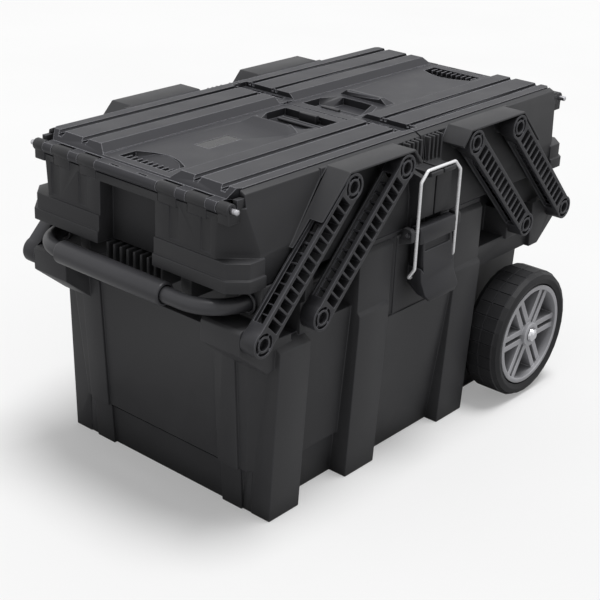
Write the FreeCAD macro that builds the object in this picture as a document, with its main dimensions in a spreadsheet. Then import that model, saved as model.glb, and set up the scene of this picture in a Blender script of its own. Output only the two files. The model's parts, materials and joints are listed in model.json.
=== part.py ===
import FreeCAD, Part
import math
import os
import Sketcher

# Jobsite storage box on two wheels: a deep tote, two cantilever trays with hinged lids,
# four parallel arms a side, a wire latch front and back and a pull handle.
# X runs along the length with the wheels at +X, the front latch is on -Y, Z is up, in mm.

vector = FreeCAD.Vector
doc = FreeCAD.newDocument("storage_box")
sheet = doc.addObject("Spreadsheet::Sheet", "Sizes")
rows = []


class Size(float):
    """A length that also carries the sheet formula it was worked out with."""

    def __new__(cls, value, text):
        number = float.__new__(cls, value)
        number.text = text
        return number

    def __add__(self, other):
        return Size(float(self) + float(other), "(%s + %s)" % (self.text, formula(other)))

    def __radd__(self, other):
        return Size(float(other) + float(self), "(%s + %s)" % (formula(other), self.text))

    def __sub__(self, other):
        return Size(float(self) - float(other), "(%s - %s)" % (self.text, formula(other)))

    def __rsub__(self, other):
        return Size(float(other) - float(self), "(%s - %s)" % (formula(other), self.text))

    def __mul__(self, other):
        return Size(float(self) * float(other), "(%s * %s)" % (self.text, formula(other)))

    def __rmul__(self, other):
        return Size(float(other) * float(self), "(%s * %s)" % (formula(other), self.text))

    def __truediv__(self, other):
        return Size(float(self) / float(other), "(%s / %s)" % (self.text, formula(other)))

    def __neg__(self):
        return Size(-float(self), "(-1 * %s)" % self.text)


def formula(number):
    """The sheet formula of a number."""
    if isinstance(number, Size):
        return number.text
    return "(%.6f)" % number


def size(name, value):
    """Write one driving dimension in the sheet and hand it back."""
    rows.append(name)
    row = len(rows)
    sheet.set("A%d" % row, name)
    sheet.set("B%d" % row, str(value))
    sheet.setAlias("B%d" % row, name)
    return Size(value, "Sizes." + name)


def root(number):
    """Square root, kept as a formula."""
    return Size(math.sqrt(number), "sqrt(%s)" % formula(number))


def bind(item, settings):
    """Bind properties of one document object to their formulas."""
    for name, number in settings.items():
        item.setExpression(name, formula(number))
    return item


def at(item, x, y, z):
    """Bind the place of one document object."""
    return bind(item, {"Placement.Base.x": x, "Placement.Base.y": y, "Placement.Base.z": z})


turns = {
    "XY": FreeCAD.Rotation(),
    "XZ": FreeCAD.Rotation(vector(1, 0, 0), 90),
    "YZ": FreeCAD.Rotation(vector(1, 1, 1), 120),
}
normals = {"XY": vector(0, 0, 1), "XZ": vector(0, 1, 0), "YZ": vector(1, 0, 0)}


def block(name, xs, ys, zs):
    """A box between two values on each axis."""
    item = doc.addObject("Part::Box", name)
    bind(item, {"Length": xs[1] - xs[0], "Width": ys[1] - ys[0], "Height": zs[1] - zs[0]})
    return at(item, xs[0], ys[0], zs[0])


def rod(name, axis, start, radius, length):
    """A cylinder along one axis from its start point."""
    item = doc.addObject("Part::Cylinder", name)
    turn = {"X": (vector(0, 1, 0), 90), "Y": (vector(1, 0, 0), -90), "Z": (vector(0, 0, 1), 0)}[axis]
    item.Placement = FreeCAD.Placement(vector(0, 0, 0), FreeCAD.Rotation(*turn))
    bind(item, {"Radius": radius, "Height": length})
    return at(item, *start)


def hold(sketch, geometry, vertex, point):
    """Hold one sketch point at its distances from the origin."""
    for kind, number in zip(("DistanceX", "DistanceY"), point):
        index = sketch.addConstraint(Sketcher.Constraint(kind, -1, 1, geometry, vertex, float(number)))
        sketch.setExpression("Constraints[%d]" % index, formula(number))


def outline(sketch, points):
    """Draw a closed outline of straight lines."""
    first = sketch.GeometryCount
    count = len(points)
    for index in range(count):
        start = points[index]
        end = points[(index + 1) % count]
        line = Part.LineSegment(vector(start[0], start[1], 0), vector(end[0], end[1], 0))
        sketch.addGeometry(line, False)
    for index in range(count):
        follower = first + (index + 1) % count
        sketch.addConstraint(Sketcher.Constraint("Coincident", first + index, 2, follower, 1))
    for index in range(count):
        hold(sketch, first + index, 1, points[index])


def ring(sketch, center, radius):
    """Draw a circle."""
    circle = Part.Circle(vector(center[0], center[1], 0), vector(0, 0, 1), float(radius))
    geometry = sketch.addGeometry(circle, False)
    hold(sketch, geometry, 3, center)
    index = sketch.addConstraint(Sketcher.Constraint("Radius", geometry, float(radius)))
    sketch.setExpression("Constraints[%d]" % index, formula(radius))


def flat_sketch(name, plane, level, points):
    """A sketch of one outline on a plane at a level along its normal."""
    sketch = doc.addObject("Sketcher::SketchObject", name)
    sketch.Placement = FreeCAD.Placement(vector(0, 0, 0), turns[plane])
    axis = {"XY": "z", "XZ": "y", "YZ": "x"}[plane]
    bind(sketch, {"Placement.Base." + axis: level})
    outline(sketch, points)
    return sketch


def prism(name, plane, points, start, end):
    """An outline on a plane, drawn out between two levels."""
    item = doc.addObject("Part::Extrusion", name)
    item.Base = flat_sketch(name + "_outline", plane, start, points)
    item.DirMode = "Custom"
    item.Dir = normals[plane]
    item.Solid = True
    return bind(item, {"LengthFwd": end - start})


def taper(name, lower, low, upper, high):
    """A ruled solid between two outlines at two heights."""
    item = doc.addObject("Part::Loft", name)
    item.Sections = [
        flat_sketch(name + "_lower", "XY", low, lower),
        flat_sketch(name + "_upper", "XY", high, upper),
    ]
    item.Solid = True
    item.Ruled = True
    item.Linearize = True
    return item


def join(name, pieces):
    """Pieces moulded together."""
    item = doc.addObject("Part::MultiFuse", name)
    item.Shapes = pieces
    item.Refine = True
    return item


def cut(name, base, tools):
    """A base with one or more tools cut away."""
    item = doc.addObject("Part::Cut", name)
    item.Base = base
    item.Tool = tools[0] if len(tools) == 1 else join(name + "_tools", tools)
    item.Refine = True
    return item


def common(name, first, second):
    """What two solids share."""
    item = doc.addObject("Part::Common", name)
    item.Base = first
    item.Tool = second
    return item


def mirrored(name, source, normal):
    """The handed copy of a piece across a plane through the origin."""
    item = doc.addObject("Part::Mirroring", name)
    item.Source = source
    item.Normal = vector(*normal)
    item.Base = vector(0, 0, 0)
    return item


def both(name, source, normal):
    """A piece and its handed copy."""
    return [source, mirrored(name, source, normal)]


def body_sketch(body, name, plane, level):
    """A sketch in a body on one of its origin planes."""
    sketch = body.newObject("Sketcher::SketchObject", name)
    role = plane + "_Plane"
    support = [item for item in body.Origin.OriginFeatures if item.Role == role][0]
    sketch.AttachmentSupport = [(support, "")]
    sketch.MapMode = "FlatFace"
    bind(sketch, {"AttachmentOffset.Base.z": level})
    return sketch


def feature(body, kind, name, sketch, settings):
    """A body feature made from one sketch."""
    item = body.newObject("PartDesign::" + kind, name)
    item.Profile = sketch
    bind(item, settings)
    return item


def pin(name, axis, start, radius, length):
    """A turned pin, made as a padded circle in its own body."""
    body = doc.addObject("PartDesign::Body", name)
    plane = {"X": "YZ", "Y": "XZ"}[axis]
    sketch = body_sketch(body, name + "_circle", plane, 0)
    ring(sketch, (0, 0), radius)
    pad = feature(body, "Pad", name + "_pad", sketch, {"Length": length})
    pad.Reversed = axis == "Y"
    return at(body, *start)


def rectangle(xs, ys):
    """Four corners between two values each way."""
    return [(xs[0], ys[0]), (xs[1], ys[0]), (xs[1], ys[1]), (xs[0], ys[1])]


def octagon(half_long, half_wide, corner):
    """A rectangle about the origin with its four corners cut."""
    return [
        (-half_long, -half_wide + corner),
        (-half_long + corner, -half_wide),
        (half_long - corner, -half_wide),
        (half_long, -half_wide + corner),
        (half_long, half_wide - corner),
        (half_long - corner, half_wide),
        (-half_long + corner, half_wide),
        (-half_long, half_wide - corner),
    ]


# Walls and clearances.
wall = size("wall", 3.5)
seat_gap = size("seat_gap", 0.3)
run_gap = size("run_gap", 0.05)
side_gap = size("side_gap", 0.5)
overlap = size("overlap", 2.0)

# Tote: floor, skirt, flared wall, ledge and the narrower neck above it.
floor_half_length = size("floor_half_length", 255.5)
floor_half_width = size("floor_half_width", 139.0)
tote_corner = size("tote_corner", 16.0)
skirt_height = size("skirt_height", 58.0)
skirt_flare = size("skirt_flare", 4.0)
step_out = size("step_out", 5.0)
wall_flare = size("wall_flare", 11.0)
ledge_height = size("ledge_height", 225.0)
neck_end_set = size("neck_end_set", 13.5)
neck_side_set = size("neck_side_set", 31.0)
pilaster_start = size("pilaster_start", 92.0)
pilaster_out = size("pilaster_out", 4.0)

# Legs and the latch column on the long sides.
leg_out = size("leg_out", 16.0)
leg_lean = size("leg_lean", 8.0)
leg_drop = size("leg_drop", 11.0)
corner_leg_reach = size("corner_leg_reach", 2.5)
corner_leg_width = size("corner_leg_width", 51.0)
middle_leg_outer = size("middle_leg_outer", 122.0)
middle_leg_width = size("middle_leg_width", 55.0)
column_drop = size("column_drop", 6.0)
column_lean = size("column_lean", 4.0)
bay_half_width = size("bay_half_width", 62.0)
bay_bottom = size("bay_bottom", 193.0)
bay_depth = size("bay_depth", 3.0)
bay_groove_width = size("bay_groove_width", 12.0)
bay_groove_depth = size("bay_groove_depth", 2.5)

# Trays.
neck_rise = size("neck_rise", 72.0)
tray_height = size("tray_height", 100.5)
tray_overhang = size("tray_overhang", 55.0)
tray_seam = size("tray_seam", 1.5)
tray_set = size("tray_set", 1.0)
tray_corner = size("tray_corner", 33.0)
rim_corner = size("rim_corner", 16.0)
band_corner = size("band_corner", 18.0)
tray_shoulder_height = size("tray_shoulder_height", 38.0)
rim_lean = size("rim_lean", 12.0)
rim_lip = size("rim_lip", 8.0)
rim_rise = size("rim_rise", 3.5)
band_out = size("band_out", 2.5)
band_height = size("band_height", 32.0)
foot_height = size("foot_height", 14.0)
grip_half_width = size("grip_half_width", 43.0)
grip_depth = size("grip_depth", 19.0)
grip_height = size("grip_height", 71.0)
panel_start = size("panel_start", 64.0)
panel_pitch = size("panel_pitch", 46.0)
panel_width = size("panel_width", 14.0)
panel_depth = size("panel_depth", 1.5)
comb_pitch = size("comb_pitch", 8.0)
comb_width = size("comb_width", 3.0)
comb_out = size("comb_out", 9.0)

# Lids and their hinges.
lid_seam = size("lid_seam", 1.2)
lid_sink = size("lid_sink", 7.5)
lid_thickness = size("lid_thickness", 12.0)
lid_border = size("lid_border", 8.0)
channel_half_width = size("channel_half_width", 52.0)
channel_plate = size("channel_plate", 3.0)
groove_depth = size("groove_depth", 3.5)
groove_width = size("groove_width", 3.0)
groove_pitch = size("groove_pitch", 6.0)
inner_groove_set = size("inner_groove_set", 61.0)
outer_groove_set = size("outer_groove_set", 22.0)
seam_step = size("seam_step", 12.0)
seam_step_depth = size("seam_step_depth", 6.5)
seam_slot_start = size("seam_slot_start", 65.0)
seam_slot_pitch = size("seam_slot_pitch", 33.0)
seam_slot_length = size("seam_slot_length", 22.0)
seam_slot_depth = size("seam_slot_depth", 3.0)
flange_inset = size("flange_inset", 11.0)
flange_width = size("flange_width", 10.0)
flange_slot_start = size("flange_slot_start", 14.0)
flange_slot_length = size("flange_slot_length", 14.0)
recess_half_width = size("recess_half_width", 38.0)
recess_length = size("recess_length", 43.0)
recess_depth = size("recess_depth", 8.0)
recess_round = size("recess_round", 15.0)
finger_near = size("finger_near", 16.0)
finger_length = size("finger_length", 72.0)
finger_half_width = size("finger_half_width", 42.0)
finger_tip = size("finger_tip", 24.0)
finger_depth = size("finger_depth", 9.5)
finger_flat = size("finger_flat", 34.0)
crest_height = size("crest_height", 7.0)
crest_top = size("crest_top", 4.0)
crest_slope = size("crest_slope", 11.0)
catch_half_width = size("catch_half_width", 13.0)
catch_lip_half_width = size("catch_lip_half_width", 18.0)
plate_center = size("plate_center", 178.0)
plate_half_length = size("plate_half_length", 26.5)
plate_half_width = size("plate_half_width", 11.0)
plate_depth = size("plate_depth", 1.5)
hinge_inset = size("hinge_inset", 3.0)
hinge_drop = size("hinge_drop", 12.5)
hinge_pin_radius = size("hinge_pin_radius", 3.0)
hinge_pin_inset = size("hinge_pin_inset", 5.0)
knuckle_radius = size("knuckle_radius", 7.0)
lid_knuckle_length = size("lid_knuckle_length", 16.0)
hinge_pin_stand = size("hinge_pin_stand", 8.0)
first_knuckle = size("first_knuckle", 48.0)
end_knuckle_length = size("end_knuckle_length", 16.0)

# Arms: the bottom pivots stand on the tote and the top pivots on the trays.
pivot_top_outer = size("pivot_top_outer", 163.0)
pivot_spacing = size("pivot_spacing", 94.0)
pivot_drop = size("pivot_drop", 15.0)
ear_reach = size("ear_reach", 23.5)
pivot_low_rise = size("pivot_low_rise", 19.4)
arm_gap = size("arm_gap", 2.0)
arm_depth = size("arm_depth", 20.0)
arm_width = size("arm_width", 28.0)
arm_end_radius = size("arm_end_radius", 15.5)
arm_pin_radius = size("arm_pin_radius", 5.0)
rail_width = size("rail_width", 4.5)
rung_width = size("rung_width", 2.5)
rung_pitch = size("rung_pitch", 12.5)
window_depth = size("window_depth", 16.0)
ring_outer = size("ring_outer", 12.6)
ring_inner = size("ring_inner", 9.4)
ring_depth = size("ring_depth", 5.0)
spoke_width = size("spoke_width", 2.2)
pin_head_radius = size("pin_head_radius", 6.5)
pin_head = size("pin_head", 2.0)
pin_recess = size("pin_recess", 8.0)
pin_bite = size("pin_bite", 12.0)

# Hoods over the arm tops.
hood_clear = size("hood_clear", 0.5)
hood_wall = size("hood_wall", 2.5)
hood_leg_height = size("hood_leg_height", 45.0)
hood_rib_out = size("hood_rib_out", 5.0)

# Latch: keeper on the trays, lever on the tote and a wire bail between them.
keeper_half_width = size("keeper_half_width", 31.0)
keeper_out = size("keeper_out", 15.0)
keeper_low = size("keeper_low", 12.0)
keeper_height = size("keeper_height", 52.0)
keeper_back_rise = size("keeper_back_rise", 7.0)
lip_half_width = size("lip_half_width", 24.0)
lip_height = size("lip_height", 6.0)
lip_reach = size("lip_reach", 10.0)
wire_radius = size("wire_radius", 2.25)
bail_half_width = size("bail_half_width", 39.0)
bail_out = size("bail_out", 6.0)
bail_corner = size("bail_corner", 12.0)
bail_bend = size("bail_bend", 5.0)
bail_joggle = size("bail_joggle", 14.0)
lever_pivot_out = size("lever_pivot_out", 10.0)
lever_pivot_drop = size("lever_pivot_drop", -4.0)
lever_pin_radius = size("lever_pin_radius", 3.0)
lever_half_width = size("lever_half_width", 33.0)
lever_bar_half = size("lever_bar_half", 35.0)
lever_head = size("lever_head", 7.4)
lever_back = size("lever_back", 5.0)
lever_front = size("lever_front", 9.0)
lever_bar_drop = size("lever_bar_drop", 13.0)
lever_reach = size("lever_reach", 22.0)
lever_length = size("lever_length", 83.0)
lever_slope = size("lever_slope", 4.0)
lever_lip_height = size("lever_lip_height", 24.0)
lever_neck_half = size("lever_neck_half", 29.0)
lever_neck_height = size("lever_neck_height", 34.0)
lever_corner = size("lever_corner", 9.0)
slot_half_width = size("slot_half_width", 25.0)
slot_height = size("slot_height", 10.0)
slot_depth = size("slot_depth", 3.0)
lever_edge = size("lever_edge", 5.0)
lever_skin = size("lever_skin", 4.5)
cheek = size("cheek", 4.0)
bail_pivot_back = size("bail_pivot_back", 3.0)
bail_pivot_drop = size("bail_pivot_drop", 57.0)
ear_inner = size("ear_inner", 42.0)
ear_width = size("ear_width", 7.0)

# Pull handle.
tube_radius = size("tube_radius", 9.0)
tube_wall = size("tube_wall", 1.5)
handle_reach = size("handle_reach", 48.0)
handle_drop = size("handle_drop", 22.0)
handle_out = size("handle_out", 18.0)
handle_bend = size("handle_bend", 50.0)
handle_rod_end = size("handle_rod_end", 112.0)
sleeve_radius = size("sleeve_radius", 13.5)
sleeve_front = size("sleeve_front", 72.0)
sleeve_back = size("sleeve_back", 95.0)
guide_length = size("guide_length", 20.0)
guide_gap = size("guide_gap", 0.3)
stop_radius = size("stop_radius", 11.5)
stop_length = size("stop_length", 10.0)
slat_pitch = size("slat_pitch", 10.8)
slat_reach = size("slat_reach", 46.0)
slat_drop = size("slat_drop", 8.0)
post_start = size("post_start", 72.0)
post_width = size("post_width", 16.0)

# Wheels and axle.
axle_set = size("axle_set", 35.5)
axle_z = size("axle_z", 88.0)
axle_radius = size("axle_radius", 6.0)
axle_end = size("axle_end", 3.0)
tyre_radius = size("tyre_radius", 87.5)
tyre_depth = size("tyre_depth", 19.0)
tyre_shoulder = size("tyre_shoulder", 6.0)
wheel_side_gap = size("wheel_side_gap", 16.0)
wheel_width = size("wheel_width", 54.0)
hub_radius = size("hub_radius", 16.0)
web_thickness = size("web_thickness", 4.0)
rim_band = size("rim_band", 6.0)
wheel_spoke_width = size("wheel_spoke_width", 7.5)
wheel_spoke_gap = size("wheel_spoke_gap", 6.0)
cap_radius = size("cap_radius", 9.5)
cap_wall = size("cap_wall", 2.0)
spacer_wall = size("spacer_wall", 5.0)
well_gap = size("well_gap", 7.5)
well_set = size("well_set", 6.0)
well_top = size("well_top", 195.0)
notch_lead = size("notch_lead", 15.0)
notch_top = size("notch_top", 125.0)
bracket_set = size("bracket_set", 21.0)
bracket_width = size("bracket_width", 9.0)

doc.recompute()

# Places worked out from the driving dimensions.
skirt_half_length = floor_half_length + skirt_flare
skirt_half_width = floor_half_width + skirt_flare
step_half_length = skirt_half_length + step_out
step_half_width = skirt_half_width + step_out
ledge_half_length = step_half_length + wall_flare
ledge_half_width = step_half_width + wall_flare
neck_half_length = ledge_half_length - neck_end_set
neck_half_width = ledge_half_width - neck_side_set
tray_bottom = ledge_height + neck_rise
tray_end = neck_half_length + tray_overhang
rim_height = tray_bottom - seat_gap
leg_height = ledge_height - leg_drop
leg_face_low = step_half_width + leg_out
leg_face_high = leg_face_low + leg_lean
tray_half_width = leg_face_low - tray_set
leg_root = floor_half_width - wall
corner_leg_outer = floor_half_length + corner_leg_reach
corner_leg_inner = corner_leg_outer - corner_leg_width
middle_leg_inner = middle_leg_outer - middle_leg_width
column_top = tray_bottom - column_drop
column_face = leg_face_high - column_lean
bay_face = column_face - bay_depth
tray_rim = tray_bottom + tray_height
tray_shoulder = tray_bottom + tray_shoulder_height
rim_half_width = tray_half_width - rim_lean
band_top = tray_bottom + band_height
foot_top = tray_bottom + foot_height
grip_top = tray_bottom + grip_height
lid_half_width = rim_half_width - rim_lip
inner_groove = lid_half_width - inner_groove_set
outer_groove = lid_half_width - outer_groove_set
lid_under = tray_rim - lid_sink
lid_top = lid_under + lid_thickness
lid_groove_floor = lid_top - groove_depth
channel_floor = lid_under + channel_plate
recess_floor = channel_floor - recess_depth
finger_floor = channel_floor - finger_depth
finger_far = finger_near + finger_length
flange_end = tray_end - flange_inset
ridge_end = flange_end - flange_width
recess_inner = ridge_end - recess_length
hinge_x = tray_end - hinge_inset
hinge_z = tray_rim - hinge_drop
hinge_pin_half = tray_half_width - hinge_pin_inset
knuckle_span = hinge_pin_half - hinge_pin_stand - end_knuckle_length - first_knuckle
knuckle_pitch = knuckle_span / 2
knuckle_length = knuckle_pitch - lid_knuckle_length
pivot_top_inner = pivot_top_outer - pivot_spacing
pivot_low_outer = ledge_half_length + ear_reach
pivot_low_inner = pivot_low_outer - pivot_spacing
pivot_top_z = tray_rim - pivot_drop
pivot_low_z = ledge_height + pivot_low_rise
arm_reach_x = pivot_low_outer - pivot_top_outer
arm_reach_z = pivot_top_z - pivot_low_z
arm_length = root(arm_reach_x * arm_reach_x + arm_reach_z * arm_reach_z)
arm_face = tray_half_width + arm_gap
arm_bore = arm_pin_radius + run_gap
boss_face = arm_face - side_gap
hood_offset = arm_end_radius + hood_clear
hood_top = pivot_top_z + hood_offset + hood_wall
hood_low = hood_top - hood_leg_height
hood_face = arm_face + arm_depth
keeper_face = tray_half_width + keeper_out
keeper_bottom = tray_bottom + keeper_low
keeper_top = keeper_bottom + keeper_height
keeper_back_top = keeper_top + keeper_back_rise
bail_plane = keeper_face + bail_out
bail_top = keeper_top + lip_height + seat_gap + run_gap + wire_radius
lever_pivot_y = column_face + lever_pivot_out
lever_pivot_z = column_top - lever_pivot_drop
bail_pivot_y = lever_pivot_y - bail_pivot_back
bail_pivot_z = lever_pivot_z - bail_pivot_drop
ear_outer = ear_inner + ear_width
lever_bottom = lever_pivot_z - lever_length
lever_lip_top = lever_bottom + lever_lip_height
tube_hole = tube_radius + guide_gap
handle_y = neck_half_width + handle_out
handle_z = tray_bottom - handle_drop
guide_outer = neck_half_length + guide_length
handle_x = guide_outer + handle_reach
axle_x = floor_half_length - axle_set
notch_start = axle_x - notch_lead
well_start = axle_x - tyre_radius - well_gap
well_face = floor_half_width - well_set
bracket_outer = well_face - bracket_set
wheel_inner = well_face + wheel_side_gap
wheel_outer = wheel_inner + wheel_width
rim_radius = tyre_radius - tyre_depth
axle_half = wheel_outer + axle_end
hub_bore = axle_radius + run_gap


# Tote: an injection moulded polypropylene bin with hollow legs, a hollow latch column on
# each long side, a neck set in behind the handle rods and an ear at each corner.
skirt = taper(
    "tote_skirt",
    octagon(floor_half_length, floor_half_width, tote_corner),
    0,
    octagon(skirt_half_length, skirt_half_width, tote_corner),
    skirt_height,
)
side_wall = taper(
    "tote_side_wall",
    octagon(step_half_length, step_half_width, tote_corner),
    skirt_height - overlap,
    octagon(ledge_half_length, ledge_half_width, tote_corner),
    ledge_height,
)
neck = prism(
    "tote_neck",
    "XY",
    octagon(neck_half_length, neck_half_width, tote_corner),
    ledge_height - overlap,
    rim_height,
)



def pilaster(name, low_end, low, high_end, high):
    """A raised panel at one corner of the handle end."""
    far = floor_half_width - tote_corner
    spans = (pilaster_start, far)
    return taper(
        name,
        rectangle((-low_end - pilaster_out, -low_end + wall), spans),
        low,
        rectangle((-high_end - pilaster_out, -high_end + wall), spans),
        high,
    )


skirt_pilaster = pilaster("skirt_pilaster", floor_half_length, 0, skirt_half_length, skirt_height)
wall_pilaster = pilaster(
    "wall_pilaster", step_half_length, skirt_height - overlap, ledge_half_length, ledge_height
)
pilasters = join("pilasters", [skirt_pilaster, wall_pilaster])

leg_profile = [
    (-leg_root, 0),
    (-leg_face_low, 0),
    (-leg_face_high, leg_height - 12),
    (-leg_face_high, leg_height),
    (-ledge_half_width, ledge_height - 1),
    (-leg_root, ledge_height - 1),
]
column_profile = [
    (-leg_root, 0),
    (-leg_face_low, 0),
    (-leg_face_high, leg_height - 12),
    (-leg_face_high, leg_height),
    (-column_face, leg_height + 4),
    (-column_face, column_top - 5),
    (-column_face + 5, column_top),
    (-neck_half_width + wall, column_top),
    (-neck_half_width + wall, ledge_height - wall),
    (-leg_root, ledge_height - wall),
]
ramp_profile = [
    (-leg_root, 0),
    (-floor_half_width - skirt_flare - 2, 0),
    (-column_face, bay_bottom + 6),
    (-column_face, column_top - 5),
    (-column_face + 5, column_top),
    (-neck_half_width + wall, column_top),
    (-neck_half_width + wall, ledge_height - wall),
    (-leg_root, ledge_height - wall),
]
front_hulls = [
    prism("corner_leg", "YZ", leg_profile, -corner_leg_outer, -corner_leg_inner),
    prism("middle_leg_left", "YZ", column_profile, -middle_leg_outer, -middle_leg_inner),
    prism("middle_leg_right", "YZ", column_profile, middle_leg_inner, middle_leg_outer),
    prism("column_ramp", "YZ", ramp_profile, -middle_leg_inner - overlap, middle_leg_inner + overlap),
]

# Ears carry the bottom pivots: one at each corner and one boss between it and the column.
ear_profile = [
    (neck_half_length - 10, ledge_height - 30),
    (ledge_half_length - 6, ledge_height - 33),
    (pivot_low_outer + arm_end_radius, pivot_low_z - arm_end_radius),
    (pivot_low_outer + arm_end_radius, pivot_low_z + arm_end_radius - 6),
    (pivot_low_outer + arm_end_radius - 4, pivot_low_z + arm_end_radius - 3),
    (neck_half_length - 10, pivot_low_z + arm_end_radius - 3),
]
corner_ear = prism("corner_ear", "XZ", ear_profile, -boss_face, -neck_half_width + tote_corner + 4)
ear_foot = prism(
    "ear_foot",
    "XZ",
    [
        (neck_half_length - 30, ledge_height - 8),
        (ledge_half_length, ledge_height - 8),
        (pivot_low_outer, ledge_height + 4),
        (neck_half_length - 30, ledge_height + 4),
    ],
    -boss_face,
    -neck_half_width + tote_corner,
)
inner_boss = block(
    "inner_boss",
    (pivot_low_inner - arm_end_radius + 2, pivot_low_inner + arm_end_radius - 2),
    (-boss_face, -neck_half_width + wall),
    (ledge_height - wall, pivot_low_z + 15),
)
front_bosses = both("ear_pair", corner_ear, (1, 0, 0))
front_bosses += both("ear_foot_pair", ear_foot, (1, 0, 0))
front_bosses += both("inner_boss_pair", inner_boss, (1, 0, 0))

# Handle guides stand on the left ears, with a second collar by the inner boss.
guide_block = block(
    "guide_block",
    (-guide_outer, -neck_half_length + overlap),
    (-boss_face, -neck_half_width + tote_corner),
    (pivot_low_z, rim_height - 1),
)
guide_collar = block(
    "guide_collar",
    (-pivot_low_inner - 6, -pivot_low_inner + 6),
    (-boss_face, -neck_half_width + wall),
    (pivot_low_z, handle_z + tube_radius + 5),
)
latch_ear = prism(
    "latch_ear",
    "YZ",
    [
        (-bay_face + overlap, lever_pivot_z - 16),
        (-lever_pivot_y - 6, lever_pivot_z - 8),
        (-lever_pivot_y - 6, lever_pivot_z + 5),
        (-lever_pivot_y - 3, lever_pivot_z + 8),
        (-lever_pivot_y + 7, lever_pivot_z + 8),
        (-column_face, column_top),
        (-bay_face + overlap, column_top - 1),
    ],
    -ear_outer,
    -ear_inner,
)
front_side = front_hulls + front_bosses + [guide_block, guide_collar]
front_half = join("tote_front_half", front_side)

# A comb of slats and two posts stand behind the handle grip.
slat_count = 9
slat_span = (-neck_half_length - slat_reach, -neck_half_length + overlap)
slat_heights = (handle_z - slat_drop, rim_height - 1)
slats = []
for index in range(slat_count):
    center = slat_pitch * (index - (slat_count - 1) / 2)
    sides = (center - wall / 2, center + wall / 2)
    slats.append(block("slat_%d" % index, slat_span, sides, slat_heights))
post = block("slat_post", slat_span, (post_start, post_start + post_width), slat_heights)
slats += both("slat_posts", post, (0, 1, 0))

tote_pieces = [skirt, side_wall, neck] + slats + both("pilaster_pair", pilasters, (0, 1, 0))
hull = join("tote_hull", tote_pieces + both("tote_halves", front_half, (0, 1, 0)))

# Hollows: the bin, the neck, the legs from below and the rod tunnel in each column.
bin_low = taper(
    "bin_low",
    octagon(floor_half_length - wall, floor_half_width - wall, tote_corner),
    wall,
    octagon(ledge_half_length - wall, ledge_half_width - wall, tote_corner),
    ledge_height - wall,
)
well_core = block(
    "well_core",
    (well_start - wall, ledge_half_length + 50),
    (-column_face - 20, -well_face + wall),
    (-wall, well_top + wall),
)
notch_core = block(
    "notch_core",
    (notch_start - wall, ledge_half_length + 50),
    (-column_face, column_face),
    (-wall, notch_top + wall),
)
bin_hollow = cut("bin_hollow", bin_low, both("well_core_pair", well_core, (0, 1, 0)) + [notch_core])
neck_hollow = prism(
    "neck_hollow",
    "XY",
    octagon(neck_half_length - wall, neck_half_width - wall, tote_corner),
    ledge_height - wall - overlap,
    rim_height + overlap,
)
tunnel = block(
    "rod_tunnel",
    (-middle_leg_outer + wall, middle_leg_outer - wall),
    (-bay_face + bay_groove_depth + wall, -neck_half_width - 1),
    (ledge_height - wall - overlap, column_top - wall),
)


def leg_core(name, start, end):
    """The hollow of one leg, open underneath."""
    return prism(
        name,
        "YZ",
        [
            (-step_half_width - 2, -wall),
            (-leg_face_low + wall, -wall),
            (-leg_face_high + wall, leg_height - 16),
            (-ledge_half_width - 1, leg_height - 16),
        ],
        start + wall,
        end - wall,
    )


rod_bore = rod("rod_bore", "X", (-guide_outer - 5, -handle_y, handle_z), tube_hole, guide_outer - 60)
front_cuts = [
    tunnel,
    rod_bore,
    leg_core("corner_leg_core", -corner_leg_outer, -corner_leg_inner),
    leg_core("middle_leg_left_core", -middle_leg_outer, -middle_leg_inner),
    leg_core("middle_leg_right_core", middle_leg_inner, middle_leg_outer),
    block(
        "latch_bay",
        (-bay_half_width, bay_half_width),
        (-column_face - 30, -bay_face),
        (bay_bottom, column_top + 10),
    ),
    block(
        "bay_groove_left",
        (-bay_half_width, -bay_half_width + bay_groove_width),
        (-column_face - 30, -bay_face + bay_groove_depth),
        (bay_bottom, column_top + 10),
    ),
    block(
        "bay_groove_right",
        (bay_half_width - bay_groove_width, bay_half_width),
        (-column_face - 30, -bay_face + bay_groove_depth),
        (bay_bottom, column_top + 10),
    ),
    block(
        "wheel_well",
        (well_start, ledge_half_length + 50),
        (-column_face - 30, -well_face),
        (-wall, well_top),
    ),
]
for name, place in (("outer", pivot_low_outer), ("inner", pivot_low_inner)):
    for side, sign in (("left", -1), ("right", 1)):
        front_cuts.append(
            rod(
                "pivot_hole_%s_%s" % (side, name),
                "Y",
                (sign * place, -boss_face - 1, pivot_low_z),
                arm_pin_radius,
                boss_face - neck_half_width - 8,
            )
        )
front_cut = join("tote_front_cut", front_cuts)
notch = block(
    "axle_notch",
    (notch_start, ledge_half_length + 50),
    (-column_face, column_face),
    (-wall, notch_top),
)
shell = cut(
    "tote_shell",
    hull,
    [bin_hollow, neck_hollow, notch] + both("tote_cuts", front_cut, (0, 1, 0)),
)

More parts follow.
